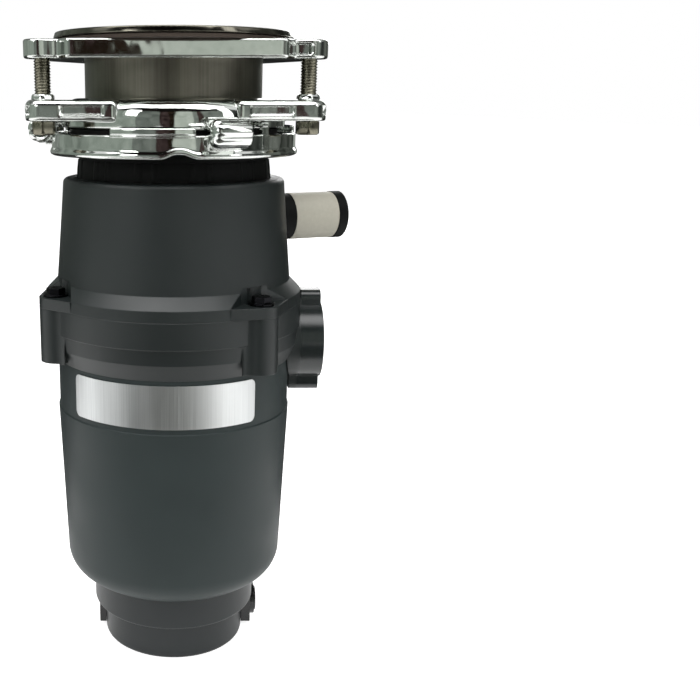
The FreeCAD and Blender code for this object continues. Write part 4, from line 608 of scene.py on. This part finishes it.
def mounting_ring():
    """The domed ring, with three arms that carry framed panels and threaded bosses, and three ramp tabs."""
    low, high = span("mounting_ring")
    dome = turned(bend([
        (THROAT_BORE, low, 0.5), (53.9, low, 0.9), (53.9, low + 5.6, 2.2), (52.9, low + 9.4, 1.6),
        (50.6, low + 12.0, 1.6), (47.6, low + 13.5, 1.6), (THROAT_BORE, low + 13.5, 0.5)], steps=7))

    outline = arm_outline()
    angle = np.degrees(np.arctan2(outline[:, 0], -outline[:, 1]))
    bottom, top = low + ARM_UNDERSIDE, low + 12.7
    levels = np.array([0, 0.15, 0.5, 1.2, 2.4, 2.7, 3.0, 6.4, 6.7, 7.0, 7.6, 8.2, 8.7, 9.05, 9.2]) + bottom
    insets = np.array([1.0, 0.45, 0.12, 0, 0, 0, 0, 0, 0.05, 0.15, 0.4, 0.8, 1.3, 1.9, 2.6])
    panel = sum(window(angle, turn + side * 17.5, 7.2, 1.2) for turn in JACK_ANGLES for side in (-1, 1))
    slot = sum(window(angle, turn, 1.5, 0.6) for turn in JACK_ANGLES)
    depth = np.minimum(1.3 * panel + 1.6 * slot, 1.6)
    # the four middle rows carry the floor of the panels and its bevels
    sunk = np.zeros(len(levels))
    sunk[5:9] = (0.5, 1.0, 1.0, 0.5)
    outer = walled(outline, insets[:, None] + np.outer(sunk, depth), levels)
    core = 46.9 * outline / np.linalg.norm(outline, axis=1, keepdims=True)
    inner = walled(core, [0, 0], [top - 0.05, bottom])
    arms = closed_shell(np.concatenate([outer, inner]), capped=False)

    boss, *faces = hex_boss([(0.02, top - 1), (7.0, top - 1), (6.6, top - 0.2), (5.9, top),
                             (5.7, high - 0.7), (5.1, high), (0.02, high)])
    shells = [dome, arms] + around((boss + [0, -JACK_REACH, 0], *faces), JACK_ANGLES)
    tab = plan_sector(52.0, 56.6, 14.5, low, 2.4, 0.7)
    shells += around(tab, HOOK_ANGLES)
    piece("MountingRing", shells, CHROME, "disposer", "chrome", "mounting_ring")


mounting_ring()


# ---------------------------------------------------------------- lock ring

# degrees from each hook to the ring's other features, and the wrench tubes' size and place in millimetres
ARCH_TURN = -19.0
RIDGE_TURN = -31.0
STRAP_TURN = 22.5
TUBE_HALF = 8.75
TUBE_REACH = 65.0
TUBE_RISE = 11.4


def beside_hooks(turn):
    """The angles that lie a turn from the three hooks."""
    return [hook + turn for hook in HOOK_ANGLES]


def arched(angle, reach, level):
    """Lifts the foot of the wall and its roll by 2 mm over three short arches, and draws them in."""
    lift = sum(window(angle, arch, 4.6, 7.0) for arch in beside_hooks(ARCH_TURN))
    lift = lift * (1 - step_up(level, level.min() + 5.5, 7.0)) * step_up(reach, 56.0, 4.0)
    return -0.3 * lift, 2.0 * lift


def wrench_tube(count=64):
    """A cup rolled from a tongue of the wall, its axis along the tangent.

    Rows are (radius, place along the axis), up the outside and down the bore; three flats are pressed into
    the outside, each a bell of cosine to the eighth.
    """
    turn = np.linspace(0, 2 * math.pi, count, endpoint=False)
    flats = 0.45 * np.cos(3 * turn + 0.5) ** 8
    radius, place = np.array([
        (0.02, -TUBE_HALF), (2.6, -TUBE_HALF), (4.6, -TUBE_HALF + 0.5), (5.8, -TUBE_HALF + 1.6),
        (6.2, -TUBE_HALF + 2.9), (6.3, -TUBE_HALF + 4), (6.3, TUBE_HALF - 1.0), (6.1, TUBE_HALF - 0.3),
        (5.6, TUBE_HALF), (4.2, TUBE_HALF), (3.7, TUBE_HALF - 0.4), (3.6, TUBE_HALF - 1.2),
        (3.6, -TUBE_HALF + 4.5), (0.02, -TUBE_HALF + 4.5)]).T[..., None]
    reach = radius - flats * (radius > 5)
    return np.stack([place + 0 * turn, -reach * np.cos(turn), reach * np.sin(turn)], -1)


def lock_ring():
    """The turning ring: a rolled bottom lip with three arches, a wall, hooks and curled wrench tubes."""
    low, high = span("lock_ring")
    top = low + 10.4
    wall = turned(bend([
        (50.2, low, 0.4), (57.6, low, 0.8), (58.9, low, 0.3), (60.1, low + 0.7, 0.7),
        (60.1, low + 2.3, 0.8), (59.2, low + 3.6, 0.9), (59.2, top, 0.8), (57.0, top, 0.6),
        (57.0, low + 2.4, 1.0), (50.2, low + 2.4, 0.5)]), arched, count=512)
    cup = closed_shell(wrench_tube() + [0, -TUBE_REACH, low + TUBE_RISE])

    web = plan_sector(57.2, 63.5, 6.2, low + 4.4, 5.8, 0.8)
    lug = plan_sector(57.2, 59.3, 7.0, low + 4.0, high - low - 4.1, 0.5)
    lip = plan_sector(54.4, 59.2, 7.0, low + 15.6, high - low - 15.7, 0.5)
    ridge = plan_sector(57.1, 59.1, 19.0, low + 9.4, 4.2, 0.7)
    strap = plan_sector(57.2, 59.3, 2.0, low + 3.0, 12.9, 0.6)
    cap = plan_sector(54.4, 59.2, 2.0, low + 13.7, 2.1, 0.6)
    shells = [wall]
    for turn, parts in ((0, (cup, web, lug, lip)), (RIDGE_TURN, (ridge,)), (STRAP_TURN, (strap, cap))):
        for part in parts:
            shells += around(part, beside_hooks(turn))
    piece("LockRing", shells, CHROME, "lock_ring", "chrome", "lock_ring")


lock_ring()


# ---------------------------------------------------------------- sink flange

def sink_flange():
    """The drawn flange: a straight throat and a thin dished rim whose edge is rolled over the gasket."""
    low, high = span("sink_flange")
    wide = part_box("sink_flange")[1][0] / MM
    shell = turned(bend([
        (41.5, low, 0.3), (42.7, low, 0.3), (42.7, high - 5.4, 0.8), (44.2, high - 3.0, 0.8),
        (55.6, high - 2.9, 0.4), (wide, high - 2.5, 0.3), (wide - 0.8, high, 0.5), (wide - 4.6, high, 1.4),
        (50.2, high - 1.5, 1.4), (44.6, high - 1.6, 1.8), (41.5, high - 5.0, 1.6)], steps=8))
    piece("SinkFlange", [shell], STAINLESS, "disposer", "stainless", "sink_flange")


sink_flange()


# ---------------------------------------------------------------- neck

def ribbed(angle, reach, level):
    """Ribs 0.45 mm high round the outside: a clipped cosine of 36 turns, with a bay every 30 degrees."""
    outside_bays = step_up(np.abs(apart(angle * 12, 0)) / 12, 4.0, 0.8)
    ribs = 0.45 * np.clip(1.4 * np.cos(np.radians(angle * 36)), 0, 1) * outside_bays
    return ribs * (reach > 46.2), np.zeros_like(level)


def neck_ribs():
    """A thin collar moulded round the neck, with upright ribs over most of it and smooth bays between."""
    low = span("hood")[1]
    collar = turned(bend([
        (45.6, low + 0.4), (47.2, low + 0.4, 0.2), (46.9, low + 5.0), (46.4, low + 9.2, 0.6),
        (45.6, low + 9.2)]), ribbed, count=720)
    piece("NeckRibs", [collar], NECK, "disposer", "container_plastic")


neck_ribs()


# ---------------------------------------------------------------- reset spring

def tube(path, radius, sides=12):
    """A round wire along a path: circles in its outward and crosswise directions."""
    along = np.gradient(path, axis=0)
    along /= np.linalg.norm(along, axis=1, keepdims=True)
    outwards = path - path.mean(axis=0)
    outwards[:, 2] = 0
    outwards -= along * np.sum(outwards * along, axis=1, keepdims=True)
    outwards /= np.linalg.norm(outwards, axis=1, keepdims=True)
    across = np.cross(along, outwards)
    turn = np.linspace(0, 2 * math.pi, sides, endpoint=False)[None, :, None]
    return path[:, None] + radius * (np.cos(turn) * outwards[:, None] + np.sin(turn) * across[:, None])


def reset_spring():
    """A helix of round wire, rising evenly with its angle, on a mesh of its own; the real spring shortens as
    the button is pressed.
    """
    (x0, y0, low), (x1, y1, high) = np.array(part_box("reset_spring")) / MM
    wire = SPRING_WIRE / 2
    t = np.linspace(0, 1, 420)
    angle = 2 * math.pi * SPRING_TURNS * t
    reach = (x1 - x0) / 2 - wire
    level = low + wire + (high - low - 2 * wire) * t
    path = np.stack([(x0 + x1) / 2 + reach * np.sin(angle),
                     (y0 + y1) / 2 - reach * np.cos(angle), level], -1)
    spring = piece("ResetSpring", [closed_shell(tube(path, wire))], GROUND_STEEL,
                   "disposer", "steel", "reset_spring")
    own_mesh(spring)


reset_spring()


# ---------------------------------------------------------------- stage

def flat_sheet(name, corners, material):
    """A flat four-sided sheet, which isn't part of the object."""
    mesh = bpy.data.meshes.new(name)
    mesh.from_pydata(corners, [], [(0, 1, 2, 3)])
    mesh.materials.append(material)
    sheet = bpy.data.objects.new(name, mesh)
    bpy.context.collection.objects.link(sheet)
    return sheet


def card(name, dark, light, corners):
    """A board of cloudy paint that only mirror-like rays meet: it colours reflections, not the light."""
    paint, tree, place = new_tree(name.lower() + "_paint")
    clouds = cloud_pattern(tree, place, 384.6, detail=4.0, roughness=0.6)
    spread = add(tree, "MapRange", {"From Min": 0.36, "From Max": 0.64, "Value": clouds}).outputs[0]
    mix = add(tree, "Mix", {"data_type": "RGBA", 0: spread, 6: linear(dark), 7: linear(light)})
    glow = add(tree, "Emission", {"Color": mix.outputs[2]})
    add(tree, "OutputMaterial", {"Surface": glow.outputs[0]})
    board = flat_sheet(name, corners, paint)
    board.visible_camera = False
    board.visible_diffuse = False
    board.visible_shadow = False


def upright(start, end, low=-0.1, high=1.6, away=2.4):
    """Corners of an upright board over the line between two angles round the object."""
    (x0, y0), (x1, y1) = at_angle(away, start), at_angle(away, end)
    return [(x0, y0, low), (x1, y1, low), (x1, y1, high), (x0, y0, high)]


def level_board(y0, y1, z, left=-2.4, right=2.4):
    """Corners of a level board above or below the object."""
    return [(left, y0, z), (right, y0, z), (right, y1, z), (left, y1, z)]


def seen_by_eye(tree):
    """1 for rays from the camera, and for those that metal and glass send on."""
    rays = add(tree, "LightPath").outputs
    most = {"operation": "MAXIMUM"}
    seen = add(tree, "Math", {**most, 0: rays["Is Camera Ray"], 1: rays["Is Glossy Ray"]}).outputs[0]
    return add(tree, "Math", {**most, 0: seen, 1: rays["Is Transmission Ray"]}).outputs[0]


# the floor adds some white of its own to what the eye sees, so that it ends in white and keeps its shadow
FLOOR_GLOW = 0.78
white, tree, shader, place = new_material("white_studio_floor", {"Roughness": 0.8})
two_tone(tree, shader, cloud_pattern(tree, place, 33.33), "#f4f4f3", "#f7f7f6")
tree.links.new(seen_by_eye(tree), shader.inputs["Emission Strength"])
shader.inputs["Emission Color"].default_value = (FLOOR_GLOW, FLOOR_GLOW, FLOOR_GLOW, 1.0)
FLOOR = CAD_BOX[0][2]
flat_sheet("Floor", [(-6, -6, FLOOR), (6, -6, FLOOR), (6, 30, FLOOR), (-6, 30, FLOOR)], white)

# dark and bright boards round the set, out of sight, give chrome and satin plastic something to mirror;
# each has a darker and a lighter tone, and stands between two angles
UPRIGHT_BOARDS = (
    ("BrownBoard", "#0e0b09", "#33281f", -3.2, 2.0),
    ("PlumBoard", "#261d1c", "#524443", -15.5, -3.2),
    ("SlateBoard", "#656b66", "#848a84", -38, -15.5),
    ("LeftBoard", "#8b958c", "#adb6ad", -84, -38),
    ("FarLeftBoard", "#79827a", "#9ea79e", -130, -84),
    ("PaleBoard", "#b0b9ae", "#d8ded5", 2.0, 19),
    ("RightBoard", "#757b75", "#9aa09a", 19, 24.6),
    ("UmberBoard", "#2b2120", "#5b4b49", 24.6, 29),
    ("GreyBoard", "#6f756f", "#979d97", 29, 60),
    ("InkBoard", "#232624", "#4f534f", 60, 90),
    ("FarRightBoard", "#585b56", "#7b7f79", 90, 115),
    ("SmokeBoard", "#30332f", "#60635e", 115, 150),
    ("PearlBoard", "#8d938d", "#b4bab4", 150, 162),
    ("RearBoard", "#0b0b0b", "#3b3d3b", 162, 194),
    ("RearLeftBoard", "#5c615c", "#a6aca6", 194, 230),
)
for name, dark, light, start, end in UPRIGHT_BOARDS:
    card(name, dark, light, upright(start, end))

# the mats lie just over the floor
MAT = FLOOR + 0.001
card("TopBoard", "#0a0908", "#1f1c1a", level_board(-2.5, -0.75, 1.6))
card("OverheadBoard", "#2a2b2a", "#a4a8a3", level_board(-0.1, 2.4, 1.7))
card("RearMat", "#121212", "#4a4b49", level_board(0.12, 2.3, MAT))
card("FloorMat", "#161615", "#7d7d78", level_board(-2.2, -0.14, MAT, -0.45, 0.3))

# the world shows white to the eye, and lights the object at a quarter of that
world = bpy.data.worlds.new("StudioWorld")
bpy.context.scene.world = world
world.use_nodes = True
sky = world.node_tree
strength = add(sky, "MapRange", {"To Min": 0.25, "To Max": 1.0, "Value": seen_by_eye(sky)}).outputs[0]
sky.nodes["Background"].inputs["Color"].default_value = (1, 1, 1, 1)
sky.links.new(strength, sky.nodes["Background"].inputs["Strength"])
bpy.context.scene.view_settings.view_transform = "Standard"


def lamp(name, place, aim, width, height, power):
    """A soft box at a place, facing a point."""
    data = bpy.data.lights.new(name, "AREA")
    data.shape = "RECTANGLE"
    data.size = width
    data.size_y = height
    data.energy = power
    light = bpy.data.objects.new(name, data)
    bpy.context.collection.objects.link(light)
    light.location = place
    light.rotation_euler = (Vector(aim) - Vector(place)).to_track_quat("-Z", "Y").to_euler()
    return light


# the front box lights the set, while its pale board is what the chrome shows
lamp("FrontBox", (0.38, -2.3, 0.75), (0, 0, 0.2), 0.9, 1.1, 14).visible_glossy = False
lamp("LeftBox", (-1.2, -1.3, 1.1), (0, 0, 0.2), 0.4, 0.6, 5)
lamp("RightBox", (1.1, -0.7, 0.9), (0, 0, 0.18), 0.25, 0.8, 2)
lamp("TopBox", (-0.1, -0.35, 1.3), (0, 0, 0.2), 1.9, 0.65, 17)
lamp("BackBox", (0.5, 2.0, 0.9), (0, 0, 0.2), 1.2, 1.0, 13)

# a 50 mm lens close in front, looking down by some 14 degrees, shifted so that the object stands at the left
CAMERA_TILT = 14.28
camera_data = bpy.data.cameras.new("Camera")
camera_data.sensor_width = 36
camera_data.lens = 49.988571
camera_data.shift_x = 0.252
camera = bpy.data.objects.new("Camera", camera_data)
camera.location = (0, -0.4867, 0.280)
camera.rotation_euler = (math.radians(90 - CAMERA_TILT), 0, 0)
bpy.context.collection.objects.link(camera)
bpy.context.scene.camera = camera
